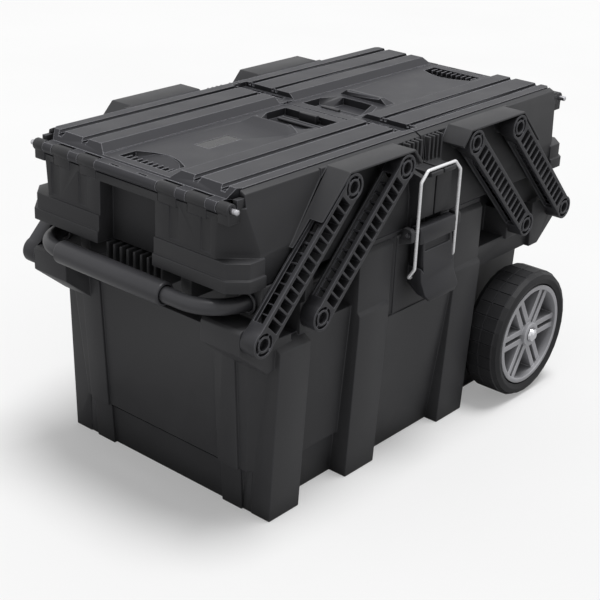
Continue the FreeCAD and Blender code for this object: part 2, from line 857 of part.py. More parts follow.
# Axle brackets hang in the notch and the latch ears stand in the bay.
bracket = prism(
    "axle_bracket",
    "XZ",
    [
        (notch_start - 1, notch_top + 1),
        (axle_x + 34, notch_top + 1),
        (axle_x + 14, axle_z - 12),
        (notch_start - 1, axle_z - 12),
    ],
    -bracket_outer,
    -bracket_outer + bracket_width,
)
ears = both("latch_ear_pair", latch_ear, (1, 0, 0))
ear_set = join("latch_ears", ears)
extras = both("bracket_pair", bracket, (0, 1, 0)) + both("latch_ear_back", ear_set, (0, 1, 0))
lever_hole = rod(
    "lever_hole",
    "X",
    (-ear_outer - 1, -lever_pivot_y, lever_pivot_z),
    lever_pin_radius,
    2 * ear_outer + 2,
)
axle_hole = rod(
    "axle_hole",
    "Y",
    (axle_x, -bracket_outer - 1, axle_z),
    axle_radius,
    2 * bracket_outer + 2,
)
tote = cut(
    "tote",
    join("tote_body", [shell] + extras),
    both("lever_holes", lever_hole, (0, 1, 0)) + [axle_hole],
)


# Trays: moulded boxes with leaning walls, a stepped foot band, a hand recess in the end,
# hinge knuckles, a hood over the arm tops and half a latch keeper on each long side.
def tray_outline(end, half_width, corner):
    """A tray outline with its two outer corners cut."""
    return [
        (-tray_seam, -half_width),
        (-tray_seam, half_width),
        (-end + corner, half_width),
        (-end, half_width - corner),
        (-end, -half_width + corner),
        (-end + corner, -half_width),
    ]


tray_body = prism(
    "tray_body",
    "XY",
    tray_outline(tray_end, tray_half_width, tray_corner),
    tray_bottom,
    tray_shoulder,
)
tray_upper = taper(
    "tray_upper",
    tray_outline(tray_end, tray_half_width, tray_corner),
    tray_shoulder,
    tray_outline(tray_end, rim_half_width, rim_corner),
    tray_rim,
)
tray_rim_top = taper(
    "tray_rim_top",
    tray_outline(tray_end, rim_half_width, rim_corner),
    tray_rim,
    tray_outline(tray_end, lid_half_width + side_gap, rim_corner),
    tray_rim + rim_rise,
)
tray_band = prism(
    "tray_band",
    "XY",
    tray_outline(tray_end + band_out, tray_half_width + band_out, band_corner),
    tray_bottom,
    band_top,
)
tray_foot = prism(
    "tray_foot",
    "XY",
    tray_outline(tray_end + 2 * band_out, tray_half_width + 2 * band_out, band_corner),
    tray_bottom,
    foot_top,
)


def hood_leg(offset, height):
    """A point at a height on the line that runs beside the outer arm."""
    lean = arm_reach_x / arm_reach_z
    return (-pivot_top_outer - (pivot_top_z - height) * lean - offset * arm_length / arm_reach_z, height)


hood_outside = hood_offset + hood_wall
hood_profile = [
    hood_leg(hood_outside, hood_low),
    hood_leg(hood_outside, hood_top),
    (-pivot_top_inner + 14, hood_top),
    (-pivot_top_inner + 30, hood_top - 17),
    (-pivot_top_inner + 27, hood_top - 20),
    (-pivot_top_inner + 12, hood_top - hood_wall),
    hood_leg(hood_offset, hood_top - hood_wall),
    hood_leg(hood_offset, hood_low),
]
hood = prism("hood", "XZ", hood_profile, -hood_face, -rim_half_width)
hood_rib = prism(
    "hood_rib",
    "XZ",
    [
        hood_leg(hood_outside, foot_top),
        hood_leg(hood_outside, hood_low + overlap),
        hood_leg(hood_offset, hood_low + overlap),
        hood_leg(hood_offset, foot_top),
    ],
    -tray_half_width - hood_rib_out,
    -rim_half_width,
)
hood_web = block(
    "hood_web",
    (-pivot_top_outer - 18, -pivot_top_inner + 12),
    (-rim_half_width - hood_wall, -rim_half_width + overlap),
    (tray_rim - 12, hood_top - 1),
)
keeper = prism(
    "keeper",
    "YZ",
    [
        (-tray_half_width + wall, keeper_bottom),
        (-keeper_face, keeper_bottom),
        (-keeper_face, keeper_top + lip_height - 8),
        (-keeper_face - lip_reach, keeper_top + 1),
        (-keeper_face - lip_reach, keeper_top + lip_height),
        (-keeper_face, keeper_top + lip_height),
        (-rim_half_width, keeper_back_top),
    ],
    -lip_half_width,
    -tray_seam,
)
keeper_cheek = prism(
    "keeper_cheek",
    "YZ",
    [
        (-tray_half_width + wall, keeper_bottom),
        (-keeper_face, keeper_bottom),
        (-keeper_face, keeper_top),
        (-rim_half_width, keeper_back_top),
    ],
    -keeper_half_width,
    -lip_half_width + overlap,
)
pivot_bosses = []
for name, place in (("outer", pivot_top_outer), ("inner", pivot_top_inner)):
    pivot_bosses.append(
        rod(
            "tray_boss_" + name,
            "Y",
            (-place, -boss_face, pivot_top_z),
            arm_end_radius - 3,
            boss_face - rim_half_width + 6,
        )
    )
seat_rail = block(
    "lid_seat_rail",
    (-tray_end + 40, -tray_seam),
    (-tray_half_width + 4, -lid_half_width + 5),
    (lid_under - 8, lid_under - seat_gap),
)
combs = []
for index in range(4):
    near = -tray_seam - comb_pitch * (index + 1)
    combs.append(
        block(
            "comb_%d" % index,
            (near, near + comb_width),
            (-rim_half_width - comb_out, -rim_half_width + overlap),
            (keeper_top, tray_rim - 1),
        )
    )
tray_pieces = [hood, hood_rib, hood_web, keeper, keeper_cheek]
tray_side = join("tray_side", tray_pieces + pivot_bosses + combs)
tray_box = [tray_body, tray_upper, tray_rim_top, tray_band, tray_foot]
tray_hull = join("tray_hull", tray_box + both("tray_sides", tray_side, (0, 1, 0)))


def tray_inside(end, half_width, corner):
    """The inside outline of a tray."""
    return [
        (-tray_seam - wall, -half_width),
        (-tray_seam - wall, half_width),
        (-end + corner, half_width),
        (-end, half_width - corner),
        (-end, -half_width + corner),
        (-end + corner, -half_width),
    ]


tray_low_hollow = prism(
    "tray_low_hollow",
    "XY",
    tray_inside(tray_end - wall, tray_half_width - wall, tray_corner),
    tray_bottom + wall,
    tray_shoulder,
)
tray_high_hollow = taper(
    "tray_high_hollow",
    tray_inside(tray_end - wall, tray_half_width - wall, tray_corner),
    tray_shoulder,
    tray_inside(tray_end - wall, rim_half_width - wall, rim_corner),
    tray_rim - 3,
)
grip_core = block(
    "grip_core",
    (-tray_end - 20, -tray_end + grip_depth + wall),
    (-grip_half_width - wall, grip_half_width + wall),
    (tray_bottom, grip_top + wall),
)
tray_hollow = cut(
    "tray_hollow",
    join("tray_hollow_whole", [tray_low_hollow, tray_high_hollow]),
    [grip_core] + both("seat_rails", seat_rail, (0, 1, 0)),
)
lid_opening = prism(
    "lid_opening",
    "XY",
    [
        (-tray_seam + 5, -lid_half_width - side_gap),
        (-tray_seam + 5, lid_half_width + side_gap),
        (-tray_end - 10, lid_half_width + side_gap),
        (-tray_end - 10, -lid_half_width - side_gap),
    ],
    lid_under - seat_gap,
    tray_rim + 10,
)
corner_clear = block(
    "corner_clear",
    (-tray_end - 10, -tray_end + 21),
    (-tray_half_width - 20, tray_half_width + 20),
    (hinge_z - 1, tray_rim + 10),
)
hinge_clear = block(
    "hinge_clear",
    (-tray_end - 10, -hinge_x + knuckle_radius + 1),
    (-first_knuckle - 2 * knuckle_pitch, first_knuckle + 2 * knuckle_pitch),
    (hinge_z - knuckle_radius - side_gap, tray_rim + 10),
)
arm_path = block(
    "arm_path",
    (-pivot_low_outer + 20, -keeper_half_width),
    (-tray_half_width - 20, -tray_half_width),
    (tray_bottom - 5, band_top + 1),
)
grip_recess = block(
    "grip_recess",
    (-tray_end - 20, -tray_end + grip_depth),
    (-grip_half_width, grip_half_width),
    (tray_bottom - 5, grip_top),
)
panel_recesses = []
for index in range(2):
    near = panel_start + panel_pitch * index
    panel_recesses.append(
        block(
            "panel_recess_%d" % index,
            (-tray_end - 20, -tray_end + panel_depth),
            (near, near + panel_width),
            (band_top + wall, grip_top + overlap),
        )
    )
panel_set = join("panel_recesses", panel_recesses)
tray_shell = cut(
    "tray_shell",
    tray_hull,
    [tray_hollow, lid_opening, corner_clear, hinge_clear, grip_recess]
    + both("panel_sets", panel_set, (0, 1, 0))
    + both("arm_paths", arm_path, (0, 1, 0)),
)
catch_lip = block(
    "catch_lip",
    (-tray_seam - wall - 4, -tray_seam - 1),
    (-catch_lip_half_width, catch_lip_half_width),
    (lid_under - 2.2, lid_under - seat_gap),
)


def knuckle(name, start, end, sign):
    """A hinge barrel with the web that ties it to its own side of the hinge."""
    barrel = rod(name + "_barrel", "Y", (-hinge_x, start, hinge_z), knuckle_radius, end - start)
    if sign < 0:
        web = block(
            name + "_web",
            (-hinge_x - 4, -hinge_x + 12),
            (start, end),
            (hinge_z - 16, hinge_z),
        )
    else:
        web = block(
            name + "_web",
            (-hinge_x, -hinge_x + 12),
            (start, end),
            (hinge_z + 1, hinge_z + knuckle_radius),
        )
    return join(name, [barrel, web])


tray_knuckles = []
lid_knuckles = []
for index in range(3):
    start = first_knuckle + knuckle_pitch * index
    end = start + (knuckle_length if index < 2 else end_knuckle_length)
    tray_knuckles.append(knuckle("tray_knuckle_%d" % index, start, end, -1))
    if index < 2:
        gap_end = start + knuckle_pitch
        lid_knuckles.append(knuckle("lid_knuckle_%d" % index, end + side_gap, gap_end - side_gap, 1))
tray_knuckle_set = join("tray_knuckle_set", tray_knuckles)
hinge_bore = rod(
    "hinge_bore",
    "Y",
    (-hinge_x, -hinge_pin_half - 5, hinge_z),
    hinge_pin_radius,
    2 * hinge_pin_half + 10,
)
tray_pivot_holes = []
for name, place in (("outer", pivot_top_outer), ("inner", pivot_top_inner)):
    tray_pivot_holes.append(
        rod(
            "tray_pivot_hole_" + name,
            "Y",
            (-place, -boss_face - 1, pivot_top_z),
            arm_pin_radius,
            boss_face - rim_half_width + 4,
        )
    )
tray_hole_set = join("tray_pivot_holes", tray_pivot_holes)
left_tray = cut(
    "left_tray",
    join(
        "tray_with_knuckles",
        [tray_shell, catch_lip] + both("tray_knuckle_sets", tray_knuckle_set, (0, 1, 0)),
    ),
    [hinge_bore] + both("tray_hole_sets", tray_hole_set, (0, 1, 0)),
)
right_tray = mirrored("right_tray", left_tray, (1, 0, 0))


# Lids: thin moulded panels with a grooved strip along each side and a channel between the
# strips, which holds a hand recess at the hinge and a finger recess at the seam.
lid_plate = prism(
    "lid_plate",
    "XY",
    [
        (-lid_seam, -lid_half_width),
        (-lid_seam, lid_half_width),
        (-flange_end + 14, lid_half_width),
        (-flange_end, lid_half_width - 10),
        (-flange_end, -lid_half_width + 10),
        (-flange_end + 14, -lid_half_width),
    ],
    lid_under,
    lid_top,
)
lid_flange = block(
    "lid_flange",
    (-flange_end, -ridge_end + 8),
    (-lid_half_width + 10, lid_half_width - 10),
    (lid_under - wall, lid_under + 1),
)
center_half = first_knuckle - side_gap
lid_center_knuckle = knuckle("lid_center_knuckle", -center_half, center_half, 1)
recess_tub = block(
    "recess_tub",
    (-ridge_end - overlap, -recess_inner + wall),
    (-recess_half_width - wall, recess_half_width + wall),
    (recess_floor - wall, channel_floor),
)


def finger_outline(grow):
    """The six-sided finger recess, grown by a wall."""
    return [
        (-finger_near + grow, -finger_half_width - grow),
        (-finger_near + grow, finger_half_width + grow),
        (-finger_near - finger_flat, finger_half_width + grow),
        (-finger_far - grow, finger_tip + grow),
        (-finger_far - grow, -finger_tip - grow),
        (-finger_near - finger_flat, -finger_half_width - grow),
    ]


crest_far = finger_far + crest_top
crest_foot = finger_half_width - wall
crest = taper(
    "finger_crest",
    rectangle((-crest_far - crest_slope, -finger_far + wall), (-crest_foot, crest_foot)),
    channel_floor - 1,
    rectangle((-crest_far, -finger_far + wall), (-finger_tip - wall, finger_tip + wall)),
    channel_floor + crest_height,
)
finger_tub = prism("finger_tub", "XY", finger_outline(wall), finger_floor - wall, channel_floor)
lid_knuckle_set = join("lid_knuckle_set", lid_knuckles)
lid_whole = join(
    "lid_whole",
    [lid_plate, lid_flange, lid_center_knuckle, recess_tub, finger_tub]
    + both("lid_knuckle_sets", lid_knuckle_set, (0, 1, 0)),
)
strip_cuts = [
    block(
        "strip_hollow",
        (-ridge_end + 4, -lid_seam - seam_step - wall),
        (channel_half_width + wall, lid_half_width - lid_border),
        (lid_under - 5, lid_groove_floor - wall),
    ),
    block(
        "seam_step",
        (-lid_seam - seam_step, lid_seam),
        (channel_half_width - overlap, lid_half_width - lid_border),
        (lid_top - seam_step_depth, lid_top + overlap),
    ),
]
for name, place in (("inner", inner_groove), ("outer", outer_groove)):
    for index in range(2):
        near = place + groove_pitch * index
        strip_cuts.append(
            block(
                "groove_%s_%d" % (name, index),
                (-flange_end - overlap, -lid_seam - seam_step + overlap),
                (near, near + groove_width),
                (lid_groove_floor, lid_top + overlap),
            )
        )
for index in range(2):
    near = seam_slot_start + seam_slot_pitch * index
    strip_cuts.append(
        block(
            "seam_slot_%d" % index,
            (-lid_seam - seam_step + wall, -lid_seam - wall),
            (near, near + seam_slot_length),
            (lid_top - seam_step_depth - seam_slot_depth, lid_top),
        )
    )
strip_cuts.append(
    block(
        "flange_slot",
        (-hinge_x - 1.5, -hinge_x + 1.5),
        (flange_slot_start, flange_slot_start + flange_slot_length),
        (hinge_z + 4, hinge_z + 10),
    )
)
strip_cut = join("strip_cut", strip_cuts)
channel = block(
    "lid_channel",
    (-flange_end - overlap, lid_seam),
    (-channel_half_width, channel_half_width),
    (channel_floor, lid_top + overlap),
)
end_slope = prism(
    "lid_end_slope",
    "XZ",
    [
        (-ridge_end, lid_top + 1),
        (-flange_end + 1, lid_under + 1),
        (-flange_end - 30, lid_under + 1),
        (-flange_end - 30, lid_top + 1),
    ],
    -lid_half_width - overlap,
    lid_half_width + overlap,
)
hand_recess = common(
    "lid_hand_recess",
    prism(
        "hand_hole",
        "XY",
        [
            (-ridge_end + wall, -recess_half_width),
            (-recess_inner - recess_round, -recess_half_width),
            (-recess_inner - recess_round / 3, -recess_half_width / 2),
            (-recess_inner, 0),
            (-recess_inner - recess_round / 3, recess_half_width / 2),
            (-recess_inner - recess_round, recess_half_width),
            (-ridge_end + wall, recess_half_width),
        ],
        recess_floor,
        lid_top,
    ),
    prism(
        "hand_ramp",
        "XZ",
        [
            (-ridge_end, lid_top),
            (-ridge_end, recess_floor),
            (-recess_inner - recess_length / 2, recess_floor),
            (-recess_inner + 1, channel_floor),
            (-recess_inner + 1, lid_top),
        ],
        -recess_half_width - overlap,
        recess_half_width + overlap,
    ),
)
finger_recess = common(
    "finger_recess",
    prism("finger_hole", "XY", finger_outline(0), finger_floor, lid_top),
    prism(
        "finger_ramp",
        "XZ",
        [
            (-finger_far, channel_floor + crest_height),
            (-finger_near - finger_flat, finger_floor),
            (-finger_near + overlap, finger_floor),
            (-finger_near + overlap, lid_top),
            (-finger_far, lid_top),
        ],
        -finger_half_width - overlap,
        finger_half_width + overlap,
    ),
)
lid_bore = rod(
    "lid_bore",
    "Y",
    (-hinge_x, -hinge_pin_half - 5, hinge_z),
    hinge_pin_radius + run_gap,
    2 * hinge_pin_half + 10,
)
tongue_low = finger_floor + 1
tongue_high = tongue_low + 3
catch_slot = block(
    "catch_slot",
    (-finger_near - 1, -finger_near + wall + 1),
    (-catch_half_width - 1, catch_half_width + 1),
    (tongue_low - side_gap, tongue_high + side_gap),
)
lid_channelled = cut("lid_channelled", lid_whole, [channel])
lid_form = cut(
    "lid_form",
    join("lid_with_crest", [lid_channelled, crest]),
    [end_slope, hand_recess, finger_recess, lid_bore, catch_slot]
    + both("strip_cut_pair", strip_cut, (0, 1, 0)),
)
plate_recess = block(
    "plate_recess",
    (-plate_center - plate_half_length, -plate_center + plate_half_length),
    (-plate_half_width, plate_half_width),
    (channel_floor - plate_depth, channel_floor + 1),
)
left_lid = cut("left_lid", lid_form, [plate_recess])
right_lid = mirrored("right_lid", lid_form, (1, 0, 0))


# Arms: moulded ladder beams, eight alike, with a ring and four spokes round each pivot.

def arm(name, low_x):
    """One front left arm, standing on its bottom pivot."""
    body = doc.addObject("PartDesign::Body", name)
    ends = (0, arm_length)
    half = arm_width / 2
    beam = body_sketch(body, name + "_beam_outline", "XZ", 0)
    outline(beam, rectangle(ends, (-half, half)))
    feature(body, "Pad", name + "_beam", beam, {"Length": arm_depth})
    for index, place in enumerate(ends):
        disc = body_sketch(body, "%s_end_outline_%d" % (name, index), "XZ", 0)
        ring(disc, (place, 0), arm_end_radius)
        feature(body, "Pad", "%s_end_%d" % (name, index), disc, {"Length": arm_depth})
    windows = body_sketch(body, name + "_window_outlines", "XZ", arm_depth)
    count = int((float(arm_length) - 2 * float(arm_end_radius)) / float(rung_pitch))
    first = arm_length / 2 - rung_pitch * (count / 2) + rung_width / 2
    for index in range(count):
        start = first + rung_pitch * index
        spans = (start, start + rung_pitch - rung_width), (-half + rail_width, half - rail_width)
        outline(windows, rectangle(*spans))
    feature(body, "Pocket", name + "_windows", windows, {"Length": window_depth})
    rings = body_sketch(body, name + "_ring_outlines", "XZ", arm_depth)
    spokes = body_sketch(body, name + "_spoke_outlines", "XZ", arm_depth - ring_depth)
    bores = body_sketch(body, name + "_bore_outlines", "XZ", arm_depth)
    sinks = body_sketch(body, name + "_sink_outlines", "XZ", arm_depth)
    spoke_span = (ring_inner - 1, ring_outer + 1)
    across = (-spoke_width / 2, spoke_width / 2)
    for place in ends:
        ring(rings, (place, 0), ring_outer)
        ring(rings, (place, 0), ring_inner)
        ring(bores, (place, 0), arm_bore)
        ring(sinks, (place, 0), pin_head_radius + seat_gap)
        for sign in (-1, 1):
            along = (place + sign * spoke_span[0], place + sign * spoke_span[1])
            outline(spokes, rectangle(along, across))
            middle = (place + across[0], place + across[1])
            outline(spokes, rectangle(middle, (sign * spoke_span[0], sign * spoke_span[1])))
    feature(body, "Pocket", name + "_rings", rings, {"Length": ring_depth})
    feature(body, "Pad", name + "_spokes", spokes, {"Length": ring_depth - 1})
    feature(body, "Pocket", name + "_bores", bores, {"Length": arm_depth + 1})
    feature(body, "Pocket", name + "_sinks", sinks, {"Length": pin_recess})
    body.Placement = FreeCAD.Placement(vector(0, 0, 0), FreeCAD.Rotation(vector(0, -1, 0), 45))
    slope = "atan2(%s; %s)" % (formula(arm_reach_z), formula(arm_reach_x))
    body.setExpression("Placement.Rotation.Angle", slope)
    return at(body, -low_x, -arm_face, pivot_low_z)


arms = []
for name, place in (("outer", pivot_low_outer), ("inner", pivot_low_inner)):
    front_left = arm("left_front_arm_" + name, place)
    back_left = mirrored("left_back_arm_" + name, front_left, (0, 1, 0))
    front_right = mirrored("right_front_arm_" + name, front_left, (1, 0, 0))
    back_right = mirrored("right_back_arm_" + name, back_left, (1, 0, 0))
    arms += [front_left, back_left, front_right, back_right]

# Arm pins: blackened steel pins with a flat head sunk in each arm, pressed into the bosses.


def arm_pin(name, x, z):
    """One front pin from its boss to its head."""
    shank_length = pin_bite + side_gap + arm_depth - pin_recess + run_gap
    start = -boss_face + pin_bite
    shank = rod(name + "_shank", "Y", (x, start - shank_length, z), arm_pin_radius, shank_length)
    head_start = start - shank_length - pin_head
    head = rod(name + "_head", "Y", (x, head_start, z), pin_head_radius, pin_head)
    return join(name, [shank, head])


def pin_group(name, pins):
    """Pins of one kind kept as one group."""
    item = doc.addObject("Part::Compound", name)
    item.Links = pins
    return item


low_pins = [
    arm_pin("low_pin_outer", -pivot_low_outer, pivot_low_z),
    arm_pin("low_pin_inner", -pivot_low_inner, pivot_low_z),
]
low_front = pin_group("low_pins_left_front", low_pins)
low_left = pin_group("low_pins_left", both("low_pins_left_back", low_front, (0, 1, 0)))
lower_arm_pins = pin_group("lower_arm_pins", both("low_pins_right", low_left, (1, 0, 0)))
top_pins = [
    arm_pin("top_pin_outer", -pivot_top_outer, pivot_top_z),
    arm_pin("top_pin_inner", -pivot_top_inner, pivot_top_z),
]
top_front = pin_group("top_pins_front", top_pins)
left_arm_pins = pin_group("left_arm_pins", both("top_pins_back", top_front, (0, 1, 0)))
right_arm_pins = mirrored("right_arm_pins", left_arm_pins, (1, 0, 0))

# Lid hinge pins: plain steel rods pressed into the tray knuckles.
hinge_pin_start = (-hinge_x, -hinge_pin_half, hinge_z)
left_hinge_pin = pin("left_hinge_pin", "Y", hinge_pin_start, hinge_pin_radius, 2 * hinge_pin_half)
right_hinge_pin = mirrored("right_hinge_pin", left_hinge_pin, (1, 0, 0))

# Lid catches: moulded slides in the finger recesses, with a tongue under the tray lip.
left_catch = join(
    "left_catch",
    [
        block(
            "catch_plate",
            (-finger_near - 8, -finger_near - 1),
            (-catch_half_width, catch_half_width),
            (finger_floor + seat_gap, channel_floor + overlap),
        ),
        block(
            "catch_tongue",
            (-finger_near - 2, -tray_seam - wall - 1.5),
            (-catch_half_width, catch_half_width),
            (tongue_low, tongue_high),
        ),
    ],
)
right_catch = mirrored("right_catch", left_catch, (1, 0, 0))

# Name plate: a plain moulded insert in the channel of the left lid, left bare.
name_plate = block(
    "name_plate",
    (
        -plate_center - plate_half_length + seat_gap,
        -plate_center + plate_half_length - seat_gap,
    ),
    (-plate_half_width + seat_gap, plate_half_width - seat_gap),
    (channel_floor - plate_depth, channel_floor - seat_gap),
)

# Latches: a moulded lever on a steel pin in the column ears and a wire bail hung in it.
front_lever = doc.addObject("PartDesign::Body", "front_lever")


def lever_pad(name, half, points):
    """A lever feature drawn out evenly to both sides."""
    sketch = body_sketch(front_lever, name + "_outline", "YZ", -half)
    outline(sketch, points)
    return feature(front_lever, "Pad", name, sketch, {"Length": 2 * half})


lever_pad(
    "lever_body",
    lever_half_width,
    [
        (-lever_pivot_y + lever_back, lever_pivot_z + lever_head),
        (-lever_pivot_y - lever_head, lever_pivot_z + lever_head),
        (-lever_pivot_y - lever_front, lever_pivot_z - lever_bar_drop),
        (-lever_pivot_y - lever_front - lever_slope, lever_lip_top),
        (-lever_pivot_y - lever_reach, lever_bottom + lever_edge),
        (-lever_pivot_y - lever_reach, lever_bottom),
        (-lever_pivot_y - lever_reach + lever_edge, lever_bottom),
        (-bail_pivot_y + lever_edge, bail_pivot_z - lever_head),
        (-bail_pivot_y + lever_edge, bail_pivot_z + lever_edge),
        (-lever_pivot_y + lever_back + lever_skin, lever_pivot_z - lever_bar_drop),
    ],
)
lever_pad(
    "lever_bar",
    lever_bar_half,
    [
        (-lever_pivot_y + lever_back, lever_pivot_z - lever_bar_drop),
        (-lever_pivot_y + lever_back, lever_pivot_z + lever_head),
        (-lever_pivot_y - lever_head, lever_pivot_z + lever_head),
        (-lever_pivot_y - lever_front, lever_pivot_z + lever_pin_radius),
        (-lever_pivot_y - lever_front, lever_pivot_z - lever_bar_drop),
    ],
)
lever_hollow_sketch = body_sketch(front_lever, "lever_hollow_outline", "YZ", lever_neck_half - cheek)
lever_hollow_high = lever_pivot_z - lever_bar_drop - lever_skin
outline(
    lever_hollow_sketch,
    [
        (-lever_pivot_y + lever_reach, lever_hollow_high),
        (-lever_pivot_y - lever_front + lever_skin, lever_hollow_high),
        (-lever_pivot_y - lever_front - lever_slope + lever_skin, lever_lip_top),
        (-lever_pivot_y - lever_reach + lever_skin, lever_bottom + lever_skin),
        (-lever_pivot_y + lever_reach, lever_bottom + lever_skin),
    ],
)
lever_hollow_width = 2 * (lever_neck_half - cheek)
feature(front_lever, "Pocket", "lever_hollow", lever_hollow_sketch, {"Length": lever_hollow_width})
lever_cut_front = lever_pivot_y + lever_reach + 1
lever_cut_depth = 2 * lever_reach + 2
side_sketch = body_sketch(front_lever, "lever_side_outlines", "XZ", lever_cut_front)
neck_high = lever_pivot_z - lever_bar_drop
neck_low = neck_high - lever_neck_height
for sign in (-1, 1):
    near = sign * lever_neck_half
    far = sign * (lever_half_width + 1)
    outline(side_sketch, [(near, neck_high), (far, neck_high), (far, neck_low + 6), (near, neck_low)])
    corner_in = sign * (lever_half_width - lever_corner)
    corner = [(corner_in, lever_bottom - 1), (far, lever_bottom - 1), (far, lever_bottom + lever_corner)]
    outline(side_sketch, corner)
feature(front_lever, "Pocket", "lever_sides", side_sketch, {"Length": lever_cut_depth})
slot_sketch = body_sketch(front_lever, "finger_slot_outline", "XZ", lever_cut_front)
outline(slot_sketch, rectangle((-slot_half_width, slot_half_width), (neck_high - slot_height, neck_high)))
slot_cut_depth = lever_reach + 1 - lever_front + slot_depth
feature(front_lever, "Pocket", "finger_slot", slot_sketch, {"Length": slot_cut_depth})
for name, place, radius in (
    ("lever_bore", (-lever_pivot_y, lever_pivot_z), lever_pin_radius + run_gap),
    ("bail_holes", (-bail_pivot_y, bail_pivot_z), wire_radius + run_gap),
):
    bore_sketch = body_sketch(front_lever, name + "_outline", "YZ", lever_bar_half + 1)
    ring(bore_sketch, place, radius)
    feature(front_lever, "Pocket", name, bore_sketch, {"Length": 2 * lever_bar_half + 2})
back_lever = mirrored("back_lever", front_lever, (0, 1, 0))

latch_pin_start = (-ear_outer, -lever_pivot_y, lever_pivot_z)
front_latch_pin = pin("front_latch_pin", "X", latch_pin_start, lever_pin_radius, 2 * ear_outer)
back_latch_pin = mirrored("back_latch_pin", front_latch_pin, (0, 1, 0))


def bent_path(name, points, radius):
    """A wire path with every corner rounded to one radius."""
    places = [vector(*[float(number) for number in point]) for point in points]
    edges = []
    here = places[0]
    for index in range(1, len(places) - 1):
        corner = places[index]
        back = (places[index - 1] - corner).normalize()
        ahead = (places[index + 1] - corner).normalize()
        half = back.getAngle(ahead) / 2
        reach = float(radius) / math.tan(half)
        middle = (back + ahead).normalize() * (float(radius) / math.sin(half) - float(radius))
        start = corner + back * reach
        end = corner + ahead * reach
        edges.append(Part.makeLine(here, start))
        edges.append(Part.Arc(start, corner + middle, end).toShape())
        here = end
    edges.append(Part.makeLine(here, places[-1]))
    item = doc.addObject("Part::Feature", name)
    item.Shape = Part.Wire(edges)
    return item


def swept(name, path, start, turn, radius):
    """A round section carried along a path."""
    section = doc.addObject("Part::Circle", name + "_section")
    section.Placement = FreeCAD.Placement(vector(0, 0, 0), FreeCAD.Rotation(*turn))
    bind(section, {"Radius": radius})
    at(section, *start)
    item = doc.addObject("Part::Sweep", name)
    item.Sections = [section]
    item.Spine = (path, ["Edge%d" % (index + 1) for index in range(len(path.Shape.Edges))])
    item.Solid = True
    item.Frenet = False
    return item


bail_stub = lever_neck_half - cheek + 1
bail_half = [
    (bail_stub, -bail_pivot_y, bail_pivot_z),
    (bail_half_width, -bail_pivot_y, bail_pivot_z),
    (bail_half_width, -bail_plane, bail_pivot_z + bail_joggle),
    (bail_half_width, -bail_plane, bail_top - bail_corner),
    (bail_half_width - bail_corner, -bail_plane, bail_top),
]
bail_points = [(-point[0], point[1], point[2]) for point in bail_half] + bail_half[::-1]
front_bail = swept(
    "front_bail",
    bent_path("bail_path", bail_points, bail_bend),
    (-bail_stub, -bail_pivot_y, bail_pivot_z),
    (vector(0, 1, 0), 90),
    wire_radius,
)
back_bail = mirrored("back_bail", front_bail, (0, 1, 0))

# Pull handle: a bent steel tube with a moulded sleeve and a stop ring on each rod end.
handle_points = [
    (handle_rod_end, -handle_y, handle_z),
    (-handle_x, -handle_y, handle_z),
    (-handle_x, handle_y, handle_z),
    (handle_rod_end, handle_y, handle_z),
]
handle_path = bent_path("handle_path", handle_points, handle_bend)
handle_start = (handle_rod_end, -handle_y, handle_z)
handle_turn = (vector(0, 1, 0), -90)
handle_tube = cut(
    "handle_tube",
    swept("tube_outside", handle_path, handle_start, handle_turn, tube_radius),
    [swept("tube_inside", handle_path, handle_start, handle_turn, tube_radius - tube_wall)],
)
handle_sleeve = doc.addObject("PartDesign::Body", "handle_sleeve")
sleeve_sketch = body_sketch(handle_sleeve, "sleeve_outline", "XZ", -sleeve_back)
ring(sleeve_sketch, (0, 0), sleeve_radius)
ring(sleeve_sketch, (0, 0), tube_radius + run_gap)
feature(handle_sleeve, "Pad", "sleeve_pad", sleeve_sketch, {"Length": sleeve_front + sleeve_back})
at(handle_sleeve, -handle_x, 0, handle_z)
stop_place = (handle_rod_end - stop_length, -handle_y, handle_z)
stop_bore = (handle_rod_end - stop_length - 1, -handle_y, handle_z)
stop_ring = cut(
    "stop_ring",
    rod("stop_outside", "X", stop_place, stop_radius, stop_length),
    [rod("stop_inside", "X", stop_bore, tube_radius + run_gap, stop_length + 2)],
)
handle_stops = pin_group("handle_stops", both("stop_ring_back", stop_ring, (0, 1, 0)))

# Wheels: a moulded rim with six pairs of spokes, a tyre pressed on it, and a steel axle
# with spacer tubes inside and push-on caps outside.
axle = pin("axle", "Y", (axle_x, -axle_half, axle_z), axle_radius, 2 * axle_half)


def turned(name, points):
    """A piece turned about the axle, from its half section in Y and radius."""
    body = doc.addObject("PartDesign::Body", name)
    sketch = body_sketch(body, name + "_section", "YZ", 0)
    outline(sketch, points)
    item = body.newObject("PartDesign::Revolution", name + "_turn")
    item.Profile = sketch
    item.ReferenceAxis = (sketch, ["H_Axis"])
    item.Angle = 360
    return at(body, axle_x, 0, axle_z)


tread = rim_radius + run_gap
front_tyre = turned(
    "front_tyre",
    [
        (-wheel_inner, tread),
        (-wheel_inner, tyre_radius - tyre_shoulder),
        (-wheel_inner - tyre_shoulder, tyre_radius),
        (-wheel_outer + tyre_shoulder, tyre_radius),
        (-wheel_outer, tyre_radius - tyre_shoulder),
        (-wheel_outer, tread),
    ],
)
web_face = (wheel_inner + wheel_outer) / 2
front_rim = turned(
    "front_rim",
    [
        (-wheel_inner + overlap, hub_bore),
        (-wheel_inner + overlap, hub_radius),
        (-web_face + web_thickness, hub_radius),
        (-web_face + web_thickness, rim_radius - rim_band),
        (-wheel_inner - overlap, rim_radius - rim_band),
        (-wheel_inner - overlap, rim_radius),
        (-wheel_outer + overlap, rim_radius),
        (-wheel_outer + overlap, rim_radius - rim_band),
        (-web_face, rim_radius - rim_band),
        (-web_face, hub_radius),
        (-wheel_outer + 1, hub_radius),
        (-wheel_outer + 1, hub_bore),
    ],
)
